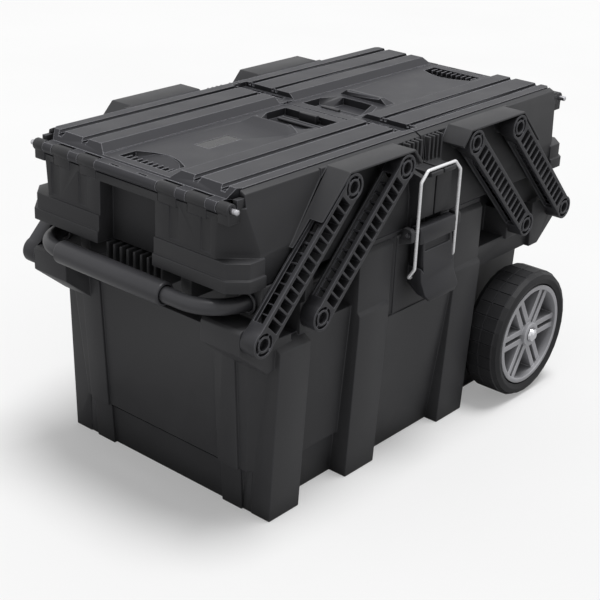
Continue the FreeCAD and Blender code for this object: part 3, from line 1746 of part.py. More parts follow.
spoke_sketch = body_sketch(front_rim, "wheel_spoke_outlines", "XZ", web_face - 1)
for sign in (-1, 1):
    near = sign * wheel_spoke_gap / 2
    far = sign * (wheel_spoke_gap / 2 + wheel_spoke_width)
    outline(spoke_sketch, rectangle((hub_radius - 4, rim_radius - 2), (near, far)))
spoke_height = wheel_outer - web_face - rim_band
spoke_pad = feature(front_rim, "Pad", "wheel_spokes", spoke_sketch, {"Length": spoke_height})
spoke_set = front_rim.newObject("PartDesign::PolarPattern", "wheel_spoke_set")
spoke_set.Originals = [spoke_pad]
spoke_set.Axis = (spoke_sketch, ["N_Axis"])
spoke_set.Angle = 360
spoke_set.Occurrences = 6
front_rim.Tip = spoke_set
back_tyre = mirrored("back_tyre", front_tyre, (0, 1, 0))
back_rim = mirrored("back_rim", front_rim, (0, 1, 0))
cap_end = axle_half + run_gap + cap_wall
front_axle_cap = turned(
    "front_axle_cap",
    [
        (-wheel_outer, hub_bore),
        (-wheel_outer, cap_radius),
        (-axle_half, cap_radius - 1),
        (-cap_end, cap_radius - cap_wall - axle_end),
        (-cap_end, 0),
        (-axle_half - run_gap, 0),
        (-axle_half - run_gap, hub_bore),
    ],
)
back_axle_cap = mirrored("back_axle_cap", front_axle_cap, (0, 1, 0))
spacer_ends = (-wheel_inner + overlap + seat_gap, -bracket_outer - seat_gap)
front_spacer = turned("front_spacer", rectangle(spacer_ends, (hub_bore, axle_radius + spacer_wall)))
back_spacer = mirrored("back_spacer", front_spacer, (0, 1, 0))

nodes = [tote, left_tray, right_tray, left_lid, right_lid, left_hinge_pin, right_hinge_pin]
nodes += arms
nodes += [lower_arm_pins, left_arm_pins, right_arm_pins]
nodes += [left_catch, right_catch, name_plate]
nodes += [front_lever, back_lever, front_latch_pin, back_latch_pin, front_bail, back_bail]
nodes += [handle_tube, handle_sleeve, handle_stops]
nodes += [axle, front_tyre, back_tyre, front_rim, back_rim]
nodes += [front_axle_cap, back_axle_cap, front_spacer, back_spacer]

doc.recompute()
for item in doc.Objects:
    if "Invalid" in item.State or "Error" in item.State:
        raise ValueError("not built: %s" % item.Name)
os.makedirs("parts", exist_ok=True)
for item in nodes:
    shape = item.Shape
    if shape.isNull() or not shape.isValid():
        raise ValueError("bad shape: %s" % item.Label)
    shape.exportStep("parts/%s.step" % item.Label)
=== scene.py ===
import json
import math

import bpy
from mathutils import Matrix, Vector

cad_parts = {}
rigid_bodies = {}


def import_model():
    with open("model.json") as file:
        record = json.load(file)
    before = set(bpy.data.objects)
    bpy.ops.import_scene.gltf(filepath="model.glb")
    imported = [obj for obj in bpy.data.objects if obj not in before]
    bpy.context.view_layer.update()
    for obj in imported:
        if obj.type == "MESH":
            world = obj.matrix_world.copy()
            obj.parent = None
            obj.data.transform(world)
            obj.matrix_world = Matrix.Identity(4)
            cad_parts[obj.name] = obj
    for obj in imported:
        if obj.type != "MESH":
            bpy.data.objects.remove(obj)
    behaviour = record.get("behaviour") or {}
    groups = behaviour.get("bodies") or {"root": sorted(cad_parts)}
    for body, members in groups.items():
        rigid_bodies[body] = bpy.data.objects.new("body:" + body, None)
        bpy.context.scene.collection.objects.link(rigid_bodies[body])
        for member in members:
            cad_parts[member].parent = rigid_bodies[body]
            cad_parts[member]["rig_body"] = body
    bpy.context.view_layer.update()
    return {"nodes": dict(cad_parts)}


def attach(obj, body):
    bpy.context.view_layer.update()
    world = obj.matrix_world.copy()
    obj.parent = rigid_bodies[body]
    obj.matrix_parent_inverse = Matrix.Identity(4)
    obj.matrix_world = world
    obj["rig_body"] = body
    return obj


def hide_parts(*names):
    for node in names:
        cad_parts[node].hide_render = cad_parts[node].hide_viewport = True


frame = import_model()


# Tote
# The deep bin is one injection moulding in charcoal polypropylene, with hollow legs and ears.
# Every edge of a moulding is rounded by its tool, so the piece is the node with soft edges.
def linear(text):
    """An sRGB hex colour as linear red, green, blue and alpha."""
    values = [int(text[place : place + 2], 16) / 255 for place in (1, 3, 5)]
    return [v / 12.92 if v <= 0.04045 else ((v + 0.055) / 1.055) ** 2.4 for v in values] + [1]


def add(material, kind, settings=None, links=None):
    """One shader node with its settings and the sockets that feed it."""
    node = material.node_tree.nodes.new("ShaderNode" + kind)
    for name, value in (settings or {}).items():
        if isinstance(name, str) and name in node.bl_rna.properties:
            setattr(node, name, value)
        else:
            node.inputs[name].default_value = value
    for name, socket in (links or {}).items():
        material.node_tree.links.new(socket, node.inputs[name])
    return node


def new_material(name):
    """An empty node material with its output."""
    material = bpy.data.materials.new(name)
    material.use_nodes = True
    material.node_tree.nodes.clear()
    return material, add(material, "OutputMaterial")


def per_metre(millimetres):
    """The texture scale at which one feature is this wide."""
    return 1000 / millimetres


def moulded_plastic(name, base, edge, roughness, grain):
    """Moulded plastic: fine grain, faint mottling, a painted highlight in the edge colour along every edge
    and painted shade that darkens sheltered gaps.
    """
    material, output = new_material(name)
    place = add(material, "TexCoord").outputs["Object"]
    mottle = add(
        material, "TexNoise", {"Scale": per_metre(45), "Detail": 4.0}, {"Vector": place}
    ).outputs["Fac"]
    fine = add(
        material, "TexNoise", {"Scale": per_metre(grain), "Detail": 2.0}, {"Vector": place}
    ).outputs["Fac"]
    # Painted highlight: where the rounded normal turns away from the face, at every edge, the colour goes
    # over to the pale edge colour.
    normal = add(material, "NewGeometry").outputs["Normal"]
    rounded = add(material, "Bevel", {"samples": 4, "Radius": 0.0012}).outputs["Normal"]
    facing = add(
        material, "VectorMath", {"operation": "DOT_PRODUCT"}, {0: normal, 1: rounded}
    ).outputs["Value"]
    painted_edge_highlight = add(
        material, "MapRange", {"From Min": 0.998, "From Max": 0.9, "To Max": 0.95}, {"Value": facing}
    ).outputs["Result"]
    shade = add(
        material,
        "MapRange",
        {"From Min": 0.3, "From Max": 0.7, "To Min": 0.93, "To Max": 1.07},
        {"Value": mottle},
    ).outputs["Result"]
    # Painted shade: ambient occlusion darkens the colour in gaps, recesses and under overhangs, down to a
    # fifth of the base colour.
    open_sky = add(material, "AmbientOcclusion", {"samples": 5, "Distance": 0.045}).outputs["AO"]
    painted_gap_shade = add(
        material,
        "MapRange",
        {"From Min": 0.1, "From Max": 0.75, "To Min": 0.2, "To Max": 1.0},
        {"Value": open_sky},
    ).outputs["Result"]
    # The mottle times the painted shade of the gaps.
    depth = add(material, "Math", {"operation": "MULTIPLY"}, {0: shade, 1: painted_gap_shade}).outputs["Value"]
    tint = add(
        material, "HueSaturation", {"Color": linear(base)}, {"Value": depth}
    ).outputs["Color"]
    colour = add(
        material, "Mix", {"data_type": "RGBA", 7: linear(edge)}, {0: painted_edge_highlight, 6: tint}
    ).outputs[2]
    gloss = add(
        material,
        "MapRange",
        {"From Min": 0.3, "From Max": 0.7, "To Min": roughness - 0.05, "To Max": roughness + 0.05},
        {"Value": mottle},
    ).outputs["Result"]
    bump = add(
        material, "Bump", {"Strength": 0.25, "Distance": grain / 8000}, {"Height": fine}
    ).outputs["Normal"]
    shader = add(
        material,
        "BsdfPrincipled",
        {"IOR": 1.49, "Specular IOR Level": 0.3},
        {"Base Color": colour, "Roughness": gloss, "Normal": bump},
    )
    material.node_tree.links.new(shader.outputs["BSDF"], output.inputs["Surface"])
    return material


def wear(piece, material):
    """Give a piece one material all over."""
    piece.data.materials.clear()
    piece.data.materials.append(material)


def take(piece):
    """Make a piece the one that is worked on."""
    bpy.ops.object.select_all(action="DESELECT")
    piece.select_set(True)
    bpy.context.view_layer.objects.active = piece


def merged(node, name):
    """A copy of a node as one closed mesh, with its doubled corners joined."""
    piece = bpy.data.objects.new(name, frame["nodes"][node].data.copy())
    bpy.context.scene.collection.objects.link(piece)
    take(piece)
    bpy.ops.object.mode_set(mode="EDIT")
    bpy.ops.mesh.select_all(action="SELECT")
    bpy.ops.mesh.remove_doubles(threshold=0.00001)
    bpy.ops.object.mode_set(mode="OBJECT")
    return piece


def box(center, size, tilt=0):
    """A plain block to cut with or to shape further, tilted about the length of the chest."""
    bpy.ops.object.select_all(action="DESELECT")
    bpy.ops.mesh.primitive_cube_add(size=1, location=center, rotation=(tilt, 0, 0), scale=size)
    bpy.ops.object.transform_apply(location=True, rotation=True, scale=True)
    return bpy.context.object


def carve(piece, cutter):
    """Cut one shape out of a piece."""
    take(piece)
    opening = piece.modifiers.new("opening", "BOOLEAN")
    opening.operation = "DIFFERENCE"
    opening.solver = "EXACT"
    opening.object = cutter
    bpy.ops.object.modifier_apply(modifier="opening")
    bpy.data.objects.remove(cutter)


def soften(piece, width, sharp=28, segments=2):
    """Make flat faces whole, then round the edges sharper than an angle in degrees."""
    take(piece)
    bpy.ops.object.mode_set(mode="EDIT")
    bpy.ops.mesh.select_all(action="SELECT")
    bpy.ops.mesh.dissolve_limited(angle_limit=math.radians(0.3))
    bpy.ops.object.mode_set(mode="OBJECT")
    rounding = piece.modifiers.new("rounding", "BEVEL")
    rounding.width = width
    rounding.segments = segments
    rounding.limit_method = "ANGLE"
    rounding.angle_limit = math.radians(sharp)
    rounding.use_clamp_overlap = False
    bpy.ops.object.modifier_apply(modifier="rounding")
    bpy.ops.object.shade_smooth_by_angle(angle=math.radians(40))


def fix(piece, node):
    """Ride on the body of a node."""
    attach(piece, frame["nodes"][node]["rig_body"])


def stand_for(piece, node):
    """Ride on the node's body and take its place."""
    fix(piece, node)
    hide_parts(node)


# Charcoal polypropylene: matt and even, with a painted highlight along the edges and painted shade that
# turns the gaps black.
body_plastic = moulded_plastic("moulded_polypropylene_body", "#3d3d3f", "#5c5c61", 0.5, 0.9)
tote = merged("tote", "tote_moulding")
neck_window = box((-0.260, 0, 0.2825), (0.020, 0.133, 0.024))
carve(tote, neck_window)
soften(tote, 0.0012)
wear(tote, body_plastic)
stand_for(tote, "tote")


# Guide bushes
# Moulded rings snapped into the handle guides of the tote, one round each leg of the tube,
# where they keep the sliding tube off the thinner walls.
def mirrored(piece, name, mirror):
    """A copy with its own mesh, mirrored in the planes named by minus ones."""
    copy = bpy.data.objects.new(name, piece.data.copy())
    bpy.context.scene.collection.objects.link(copy)
    copy.data.transform(Matrix.Diagonal((mirror[0], mirror[1], mirror[2], 1)))
    take(copy)
    bpy.ops.object.mode_set(mode="EDIT")
    bpy.ops.mesh.select_all(action="SELECT")
    bpy.ops.mesh.normals_make_consistent(inside=False)
    bpy.ops.object.mode_set(mode="OBJECT")
    return copy


def bore_through(thickness):
    """Open the cylinder being worked on into a ring of this thickness."""
    bpy.ops.object.mode_set(mode="EDIT")
    bpy.ops.mesh.select_mode(type="FACE")
    bpy.ops.mesh.select_all(action="DESELECT")
    bpy.ops.mesh.select_face_by_sides(number=4, type="GREATER")
    bpy.ops.mesh.inset(thickness=thickness)
    bpy.ops.mesh.delete(type="FACE")
    bpy.ops.mesh.select_mode(type="EDGE")
    bpy.ops.mesh.select_non_manifold()
    bpy.ops.mesh.bridge_edge_loops()
    bpy.ops.mesh.select_mode(type="FACE")
    bpy.ops.object.mode_set(mode="OBJECT")


bush_radius = 0.0125
bush_hole = 0.0096
bush_center = (-0.2835, -0.146, 0.275)
take(tote)
bpy.ops.mesh.primitive_cylinder_add(
    vertices=48, radius=bush_radius, depth=0.004, location=bush_center, rotation=(0, math.pi / 2, 0)
)
bush = bpy.context.object
bush.name = "front_guide_bush"
bpy.ops.object.transform_apply(location=True, rotation=True, scale=True)
bore_through(bush_radius - bush_hole)
soften(bush, 0.0008, 60)
# Bush plastic: a shade paler and smoother than the tote around it.
bush_plastic = moulded_plastic("moulded_bush", "#4a4a4d", "#77777b", 0.42, 0.8)
wear(bush, bush_plastic)
fix(bush, "tote")
back_bush = mirrored(bush, "back_guide_bush", (1, -1, 1))
fix(back_bush, "tote")


# Wheel end panels
# Plain moulded strips that close the space under the tray at the wheel end: one across the end
# and one behind the arms on each long side, all clipped to the tote.
def strip(name, center, size, edge, material, node):
    """A plain strip or web with soft edges, fixed to the body of a node."""
    piece = box(center, size)
    piece.name = name
    soften(piece, edge, 60)
    wear(piece, material)
    fix(piece, node)
    return piece


def pair(piece, name, node, mirror=(1, -1, 1)):
    """The mirrored partner of a strip, by default on the other long side."""
    fix(mirrored(piece, name, mirror), node)


panel_edge = 0.0012
strip("wheel_end_fascia", (0.2805, 0, 0.2755), (0.004, 0.300, 0.040), panel_edge, body_plastic, "tote")
panel_center = (0.2370, -0.1520, 0.2760)
panel_size = (0.0900, 0.004, 0.041)
panel = strip("wheel_end_front_panel", panel_center, panel_size, panel_edge, body_plastic, "tote")
pair(panel, "wheel_end_back_panel", "tote")


# Corner webs
# The foot of each corner leg at the handle end is joined to the end wall by a short web, part of
# the same moulding.
web_center = (-0.2505, -0.1293, 0.0300)
web_size = (0.0140, 0.0140, 0.0590)
web = strip("front_corner_web", web_center, web_size, 0.0010, body_plastic, "tote")
pair(web, "back_corner_web", "tote")


# Seat strips
# A flat moulded strip on top of each long side, on which the edges of the closed trays come to
# rest. It fills the joint between the tote and the trays.
seat_center = (0, -0.1466, 0.2936)
seat_size = (0.2430, 0.0328, 0.0062)
seat = strip("front_seat_strip", seat_center, seat_size, 0.0010, body_plastic, "tote")
pair(seat, "back_seat_strip", "tote")


# Trays
# Two mirrored polypropylene mouldings with leaning walls, hoods over the arm tops and half a
# latch keeper each side.
# The same polypropylene, coloured a little darker on the trays, so the trays read apart from the tote.
tray_plastic = moulded_plastic("moulded_polypropylene_tray", "#343436", "#5c5c61", 0.5, 0.9)
for side in ("left", "right"):
    tray = merged(side + "_tray", side + "_tray_moulding")
    soften(tray, 0.0009)
    wear(tray, tray_plastic)
    stand_for(tray, side + "_tray")


# Tray corner fillets
# A small web beside each outer hinge knuckle, moulded with the tray, which closes the corner
# between the lid's end and the tray wall.
fillet_center = (-0.2955, -0.1470, 0.3860)
fillet_size = (0.0220, 0.0064, 0.0160)
fillet = strip("left_front_fillet", fillet_center, fillet_size, 0.0008, tray_plastic, "left_tray")
pair(fillet, "left_back_fillet", "left_tray")
pair(fillet, "right_front_fillet", "right_tray", (-1, 1, 1))
pair(fillet, "right_back_fillet", "right_tray", (-1, -1, 1))


# Arm pins
# Short steel pins at the ends of every arm, blackened against rust, pressed into the tote and
# the trays and sunk below the arms' faces.
def turned_steel(name, base, roughness, metal):
    """Steel with faint turning marks and small changes of polish."""
    material, output = new_material(name)
    place = add(material, "TexCoord").outputs["Object"]
    marks = add(
        material, "TexNoise", {"Scale": per_metre(1.2), "Detail": 3.0}, {"Vector": place}
    ).outputs["Fac"]
    gloss = add(
        material,
        "MapRange",
        {"From Min": 0.3, "From Max": 0.7, "To Min": roughness - 0.06, "To Max": roughness + 0.08},
        {"Value": marks},
    ).outputs["Result"]
    bump = add(material, "Bump", {"Strength": 0.1, "Distance": 0.00005}, {"Height": marks}).outputs["Normal"]
    shader = add(
        material,
        "BsdfPrincipled",
        {"Base Color": linear(base), "Metallic": metal},
        {"Roughness": gloss, "Normal": bump},
    )
    material.node_tree.links.new(shader.outputs["BSDF"], output.inputs["Surface"])
    return material


# Blackened steel: dark and half dull, just a glint inside the arm rings.
pin_black = turned_steel("blackened_steel", "#1b1b1d", 0.5, 0.4)
for node in ("lower_arm_pins", "left_arm_pins", "right_arm_pins"):
    wear(frame["nodes"][node], pin_black)


# Arms
# Eight beams moulded alike: a ladder of rails and rungs in front, a thin web behind and a long
# slot down the upper side, with a ring and four spokes round each pivot.
# Polypropylene: dark, with grey light along the rails and rungs.
arm_plastic = moulded_plastic("moulded_polypropylene_arm", "#39393c", "#727278", 0.46, 0.8)
arm_foot = Vector((-0.299, -0.175, 0.2444))
arm_rise = 0.1381
arm_run = 0.136
arm_spacing = 0.094
arm_lean = math.atan2(arm_rise, arm_run)
slot_center = (0.0969, 0.00125, 0.0150)
slot_size = (0.160, 0.0125, 0.0120)
slot = box(slot_center, slot_size)
slot.data.transform(Matrix.Translation(arm_foot) @ Matrix.Rotation(-arm_lean, 4, "Y"))
beam = merged("left_front_arm_outer", "left_front_arm_outer_moulding")
carve(beam, slot)
soften(beam, 0.0005)
wear(beam, arm_plastic)
stand_for(beam, "left_front_arm_outer")
to_origin = Matrix.Translation((-arm_foot.x, 0, -arm_foot.z))
to_right_foot = Matrix.Translation((-arm_foot.x, 0, arm_foot.z))
outward = to_right_foot @ Matrix.Rotation(2 * arm_lean - math.pi, 4, "Y") @ to_origin
about = Matrix.Rotation(math.pi, 4, "Z")
inward = Matrix.Translation((arm_spacing, 0, 0))
for node, move in (
    ("left_front_arm_inner", inward),
    ("right_front_arm_outer", outward),
    ("right_front_arm_inner", inward.inverted() @ outward),
    ("right_back_arm_outer", about),
    ("right_back_arm_inner", about @ inward),
    ("left_back_arm_outer", about @ outward),
    ("left_back_arm_inner", about @ inward.inverted() @ outward),
):
    copy = bpy.data.objects.new(node + "_moulding", beam.data.copy())
    bpy.context.scene.collection.objects.link(copy)
    copy.data.transform(move)
    stand_for(copy, node)


# Lids
# Ribbed mouldings hinged to the outer ends of the trays. Two wide valleys on each half leave three
# raised ribs, and the middle channel has sloping sides and a finger recess at the inner end.
def taper(block, value, center=None):
    """Narrow the lower face of a block."""
    for face in block.data.polygons:
        face.select = face.normal.z < -0.5
    bpy.ops.object.mode_set(mode="EDIT")
    if center:
        bpy.ops.transform.resize(value=value, center_override=center)
    else:
        bpy.ops.transform.resize(value=value)
    bpy.ops.object.mode_set(mode="OBJECT")


# Polypropylene again, with bright painted highlights along the edges that draw the ribs.
lid_plastic = moulded_plastic("moulded_polypropylene_lid", "#343438", "#a2a2a8", 0.48, 0.9)
lid_middle = 0.158
ridge_slope = math.atan2(0.008, 0.010)
valley_places = (0.0865, 0.1255)
slope_size = (0.300, 0.016, 0.010)
valley_size = (0.287, 0.0150, 0.0072)
paddle_size = (0.058, 0.055, 0.0175)
for side, across in (("left", -1), ("right", 1)):
    lid = merged(side + "_lid", side + "_lid_moulding")
    for way in (1, -1):
        slope_center = (across * lid_middle, way * 0.0539, 0.4019)
        carve(lid, box(slope_center, slope_size, way * ridge_slope))
        for place in valley_places:
            valley = box((across * lid_middle, way * place, 0.3996), valley_size)
            taper(valley, (1, 0.4, 1))
            carve(lid, valley)
    paddle = box((across * 0.057, 0, 0.39225), paddle_size)
    taper(paddle, (0.8, 0.85, 1), (across * 0.028, 0, 0.3835))
    carve(lid, paddle)
    bpy.ops.object.shade_smooth_by_angle(angle=math.radians(9))
    wear(lid, lid_plastic)
    stand_for(lid, side + "_lid")


# Finger combs
# A row of thin ribs in each lid's hand recess, moulded with the lid, that stops wet fingers from
# slipping.
def repeat(piece, count, step):
    """Repeat the piece being worked on in a row."""
    row = piece.modifiers.new("row", "ARRAY")
    row.count = count
    row.use_relative_offset = False
    row.use_constant_offset = True
    row.constant_offset_displace = step
    bpy.ops.object.modifier_apply(modifier="row")


rib_count = 9
rib_pitch = 0.008
first_rib = (-0.2852, -0.032, 0.3884)
rib_size = (0.013, 0.0018, 0.0072)
comb = box(first_rib, rib_size)
comb.name = "left_finger_comb"
repeat(comb, rib_count, (0, rib_pitch, 0))
soften(comb, 0.0004, 60)
wear(comb, lid_plastic)
fix(comb, "left_lid")
fix(mirrored(comb, "right_finger_comb", (-1, 1, 1)), "right_lid")


# Pull rods
# Two short bars lie across each finger recess, beyond the reach of the catch, for the fingertips
# to hold. They are moulded with the lid.
rod_center = (-0.0332, 0, 0.3862)
rod_radius = 0.0020
rod_length = 0.066
rod_pitch = 0.0065
take(tote)
bpy.ops.mesh.primitive_cylinder_add(
    vertices=24, radius=rod_radius, depth=rod_length, location=rod_center, rotation=(math.pi / 2, 0, 0)
)
rods = bpy.context.object
rods.name = "left_pull_rods"
bpy.ops.object.transform_apply(location=True, rotation=True, scale=True)
repeat(rods, 2, (-rod_pitch, 0, 0))
soften(rods, 0.0012, 60, 3)
# A paler, smoother copy of the lid's plastic, so the bars catch a little light.
rod_plastic = moulded_plastic("moulded_rod", "#4c4c50", "#77777b", 0.4, 0.8)
wear(rods, rod_plastic)
fix(rods, "left_lid")
fix(mirrored(rods, "right_pull_rods", (-1, 1, 1)), "right_lid")


# Hinge pins
# Steel rods through the lid knuckles, with a domed head turned on each end. The latch pins and the
# axle are cut from the same bright rod.
# Bright steel: clean highlights on the small round heads.
pin_steel = turned_steel("turned_steel", "#c4c4c8", 0.3, 1.0)
for node in ("left_hinge_pin", "right_hinge_pin", "front_latch_pin", "back_latch_pin", "axle"):
    wear(frame["nodes"][node], pin_steel)
head_center = (-0.314, -0.1560, 0.385)
head_radius = 0.0031
head_length = 0.0060
take(tote)
bpy.ops.mesh.primitive_cylinder_add(
    vertices=32, radius=head_radius, depth=head_length, location=head_center, rotation=(math.pi / 2, 0, 0)
)
head = bpy.context.object
head.name = "left_front_pin_head"
bpy.ops.object.transform_apply(location=True, rotation=True, scale=True)
soften(head, 0.0021, 60, 5)
wear(head, pin_steel)
fix(head, "left_hinge_pin")
for corner, node, mirror in (
    ("left_back", "left_hinge_pin", (1, -1, 1)),
    ("right_front", "right_hinge_pin", (-1, 1, 1)),
    ("right_back", "right_hinge_pin", (-1, -1, 1)),
):
    fix(mirrored(head, corner + "_pin_head", mirror), node)


# Catches and name plate
# Small sprung slides in the finger recesses hold the lids shut, and a bare insert is pressed into
# the left lid.
# Polypropylene: nearly black, with a low even sheen.
latch_plastic = moulded_plastic("moulded_polypropylene_latch", "#2f2f32", "#5c5c61", 0.45, 0.8)
for side in ("left", "right"):
    catch = merged(side + "_catch", side + "_catch_slide")
    soften(catch, 0.0006)
    wear(catch, latch_plastic)
    stand_for(catch, side + "_catch")
# Gloss plastic: smoother than the lid, so that the bare insert shows.
plate_plastic = moulded_plastic("glossy_plate_plastic", "#2a2a2c", "#3c3c3e", 0.25, 1.5)
wear(frame["nodes"]["name_plate"], plate_plastic)


# Latches
# A moulded lever on each long side turns on a steel pin in the tote and pulls down a bail of bent
# wire, which hooks over the keepers of both trays.
for face in ("front", "back"):
    lever = merged(face + "_lever", face + "_lever_moulding")
    soften(lever, 0.0012)
    wear(lever, latch_plastic)
    stand_for(lever, face + "_lever")
# Plated wire: a near-white base with little metal, so its diffuse colour paints the bright reflection that
# keeps it almost white against the dark box.
wire_chrome = turned_steel("plated_wire", "#fbfbfd", 0.24, 0.25)
wire_thinning = 0.0003
for face in ("front", "back"):
    bail = merged(face + "_bail", face + "_bail_wire")
    thinning = bail.modifiers.new("thinning", "DISPLACE")
    thinning.strength = -wire_thinning
    thinning.mid_level = 0
    bpy.ops.object.modifier_apply(modifier="thinning")
    bpy.ops.object.shade_smooth_by_angle(angle=math.radians(40))
    wear(bail, wire_chrome)
    stand_for(bail, face + "_bail")


# Pull handle
# A bent steel tube with a moulded sleeve on its grip. Its legs slide in the tote's guides up to two
# nylon stop rings.
# Powder coat: dark grey, with a long soft highlight along the tube.
tube_coat = moulded_plastic("powder_coat_grey", "#454548", "#5c5c60", 0.36, 0.7)
tube = merged("handle_tube", "handle_tube_bend")
bpy.ops.object.shade_smooth_by_angle(angle=math.radians(40))
wear(tube, tube_coat)
stand_for(tube, "handle_tube")
# Sleeve plastic: close to the tube's grey, with the same soft highlight.
sleeve_plastic = moulded_plastic("moulded_sleeve", "#434346", "#5a5a5e", 0.36, 0.8)
sleeve = merged("handle_sleeve", "handle_sleeve_grip")
soften(sleeve, 0.0025, 50, 4)
wear(sleeve, sleeve_plastic)
stand_for(sleeve, "handle_sleeve")
# Black nylon: plain and dull, as it is hardly seen.
stop_plastic = moulded_plastic("black_nylon", "#222224", "#333335", 0.5, 0.8)
for node in ("handle_stops", "front_spacer", "back_spacer"):
    wear(frame["nodes"][node], stop_plastic)


# Tyres
# Hard rubber rings moulded round the rims, with a rounded shoulder and two rows of flat tread
# blocks parted by shallow grooves.
tyre_center = Vector((0.22, -0.176, 0.088))
tyre_flats = 30
groove_floor = 0.0860
tread_raise = 0.0014
tread_least = 0.080
rim_seat = 0.0683
tyre_width = 0.054
shoulder_flat = groove_floor * math.cos(math.pi / tyre_flats)
take(tote)
bpy.ops.mesh.primitive_cylinder_add(
    vertices=tyre_flats,
    radius=groove_floor,
    depth=tyre_width,
    location=tyre_center,
    rotation=(math.pi / 2, 0, 0),
)
tyre = bpy.context.object
tyre.name = "front_tyre_ring"
bpy.ops.object.transform_apply(location=True, rotation=True, scale=True)
bore_through(shoulder_flat - rim_seat)
soften(tyre, 0.0080, 60, 2)


def tread_faces(piece, least):
    """Select the faces of a tyre that lie on its tread."""
    for face in piece.data.polygons:
        arm = Vector((face.center.x - tyre_center.x, 0, face.center.z - tyre_center.z))
        face.select = abs(face.normal.y) < 0.05 and arm.length > least


tread_faces(tyre, tread_least)
bpy.ops.object.mode_set(mode="EDIT")
bpy.ops.mesh.bisect(plane_co=tyre_center, plane_no=(0, 1, 0))
bpy.ops.object.mode_set(mode="OBJECT")
tread_faces(tyre, tread_least)
bpy.ops.object.mode_set(mode="EDIT")
bpy.ops.mesh.inset(thickness=0.0009, use_individual=True)
tread_growth = 1 + tread_raise / groove_floor
bpy.ops.transform.resize(value=(tread_growth, 1, tread_growth), center_override=tyre_center)
bpy.ops.object.mode_set(mode="OBJECT")
bpy.ops.object.shade_smooth_by_angle(angle=math.radians(9))
# Hard rubber: the darkest and dullest of the finishes.
tyre_rubber = moulded_plastic("hard_rubber", "#262628", "#3c3c3f", 0.6, 0.6)
wear(tyre, tyre_rubber)
stand_for(tyre, "front_tyre")
stand_for(mirrored(tyre, "back_tyre_ring", (1, -1, 1)), "back_tyre")


# Rims and caps
# Moulded rims with pairs of spokes turn on the axle, and bright caps pushed on its ends hold them.
# Grey rim plastic: mid grey, with a painted highlight along the edges of the spokes.
rim_plastic = moulded_plastic("moulded_rim_plastic", "#b0b0b4", "#ececf0", 0.42, 0.8)
# Plated steel: one bright spot in the middle of each wheel.
cap_chrome = turned_steel("bright_cap", "#e0e0e4", 0.2, 1.0)
for face in ("front", "back"):
    rim = merged(face + "_rim", face + "_rim_moulding")
    soften(rim, 0.0006)
    wear(rim, rim_plastic)
    stand_for(rim, face + "_rim")
    wear(frame["nodes"][face + "_axle_cap"], cap_chrome)


# Studio
# A pale floor under soft light from above, seen from the photograph's angle.
# The floor's glow is for the camera alone, so that it looks white and throws little light back.
floor_paint, floor_output = new_material("pale_floor")
ray = add(floor_paint, "LightPath").outputs["Is Camera Ray"]
place = add(floor_paint, "TexCoord").outputs["Object"]
cloud = add(
    floor_paint, "TexNoise", {"Scale": per_metre(400), "Detail": 2.0}, {"Vector": place}
).outputs["Fac"]
tone = add(
    floor_paint,
    "MapRange",
    {"From Min": 0.3, "From Max": 0.7, "To Min": 0.99, "To Max": 1.01},
    {"Value": cloud},
).outputs["Result"]
white = add(floor_paint, "HueSaturation", {"Color": linear("#f2f2f2")}, {"Value": tone}).outputs["Color"]
pale = add(floor_paint, "BsdfDiffuse", None, {"Color": white}).outputs["BSDF"]
glow = add(floor_paint, "Emission", {"Color": linear("#f4f4f4"), "Strength": 1.0}).outputs["Emission"]
seen = add(floor_paint, "MixShader", {0: 0.3}, {1: pale, 2: glow}).outputs["Shader"]
dim = add(floor_paint, "BsdfDiffuse", {"Color": linear("#bcbcbc")}).outputs["BSDF"]
shown = add(floor_paint, "MixShader", None, {0: ray, 1: dim, 2: seen}).outputs["Shader"]
floor_paint.node_tree.links.new(shown, floor_output.inputs["Surface"])
bpy.ops.object.select_all(action="DESELECT")
bpy.ops.mesh.primitive_plane_add(size=40, location=(0, 0, 0))
floor = bpy.context.object
floor.name = "floor"
bpy.ops.object.transform_apply(location=True, rotation=True, scale=True)
wear(floor, floor_paint)

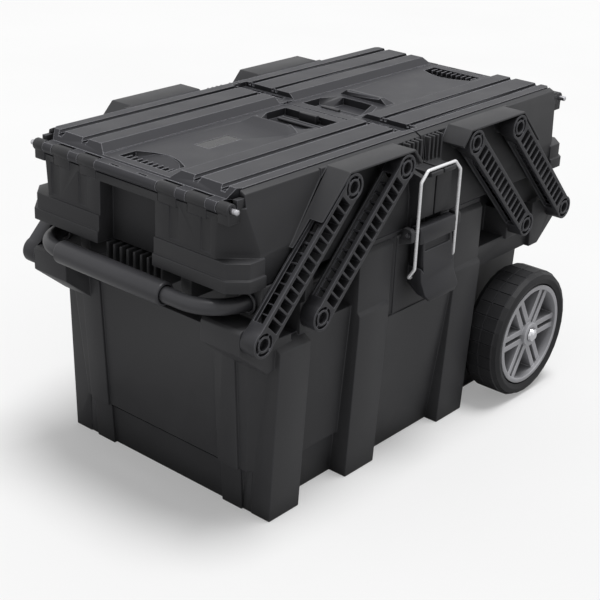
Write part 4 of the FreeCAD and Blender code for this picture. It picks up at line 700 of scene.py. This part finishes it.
world = bpy.data.worlds.new("studio")
bpy.context.scene.world = world
world.use_nodes = True
world.node_tree.nodes.clear()
sky_output = world.node_tree.nodes.new("ShaderNodeOutputWorld")
path = add(world, "LightPath").outputs
camera_or_gloss = add(
    world, "Math", {"operation": "MAXIMUM"}, {0: path["Is Camera Ray"], 1: path["Is Glossy Ray"]}
).outputs["Value"]
shows = add(
    world, "Math", {"operation": "MAXIMUM"}, {0: camera_or_gloss, 1: path["Is Transmission Ray"]}
).outputs["Value"]
ambient = add(world, "Background", {"Color": linear("#ffffff"), "Strength": 0.4}).outputs["Background"]
backdrop = add(world, "Background", {"Color": linear("#f4f4f4"), "Strength": 1.0}).outputs["Background"]
sky = add(world, "MixShader", None, {0: shows, 1: ambient, 2: backdrop}).outputs["Shader"]
world.node_tree.links.new(sky, sky_output.inputs["Surface"])

lamp = bpy.data.lights.new("soft_key", "SUN")
lamp.energy = 2.3
lamp.angle = math.radians(24)
key = bpy.data.objects.new("soft_key", lamp)
bpy.context.scene.collection.objects.link(key)
key.rotation_mode = "QUATERNION"
key.rotation_quaternion = Vector((0.1, -0.1, 1)).to_track_quat("Z", "Y")

aim = Vector((-0.109741, -0.072331, 0.2))
azimuth = math.radians(-50.209)
elevation = math.radians(23.964)
roll = math.radians(2.404)
distance = 1.585316
back = Vector(
    (
        math.sin(azimuth) * math.cos(elevation),
        -math.cos(azimuth) * math.cos(elevation),
        math.sin(elevation),
    )
)
across = Vector((math.cos(azimuth), math.sin(azimuth), 0))
upward = back.cross(across)
turned_across = math.cos(roll) * across + math.sin(roll) * upward
turned_upward = math.cos(roll) * upward - math.sin(roll) * across
camera_data = bpy.data.cameras.new("camera")
camera_data.sensor_width = 36
camera_data.lens = 80.153
camera_data.clip_end = 50
camera = bpy.data.objects.new("camera", camera_data)
bpy.context.scene.collection.objects.link(camera)
turn = Matrix((turned_across, turned_upward, back)).transposed()
camera.matrix_world = Matrix.LocRotScale(aim + back * distance, turn, None)
bpy.context.scene.camera = camera
bpy.context.scene.view_settings.view_transform = "Standard"
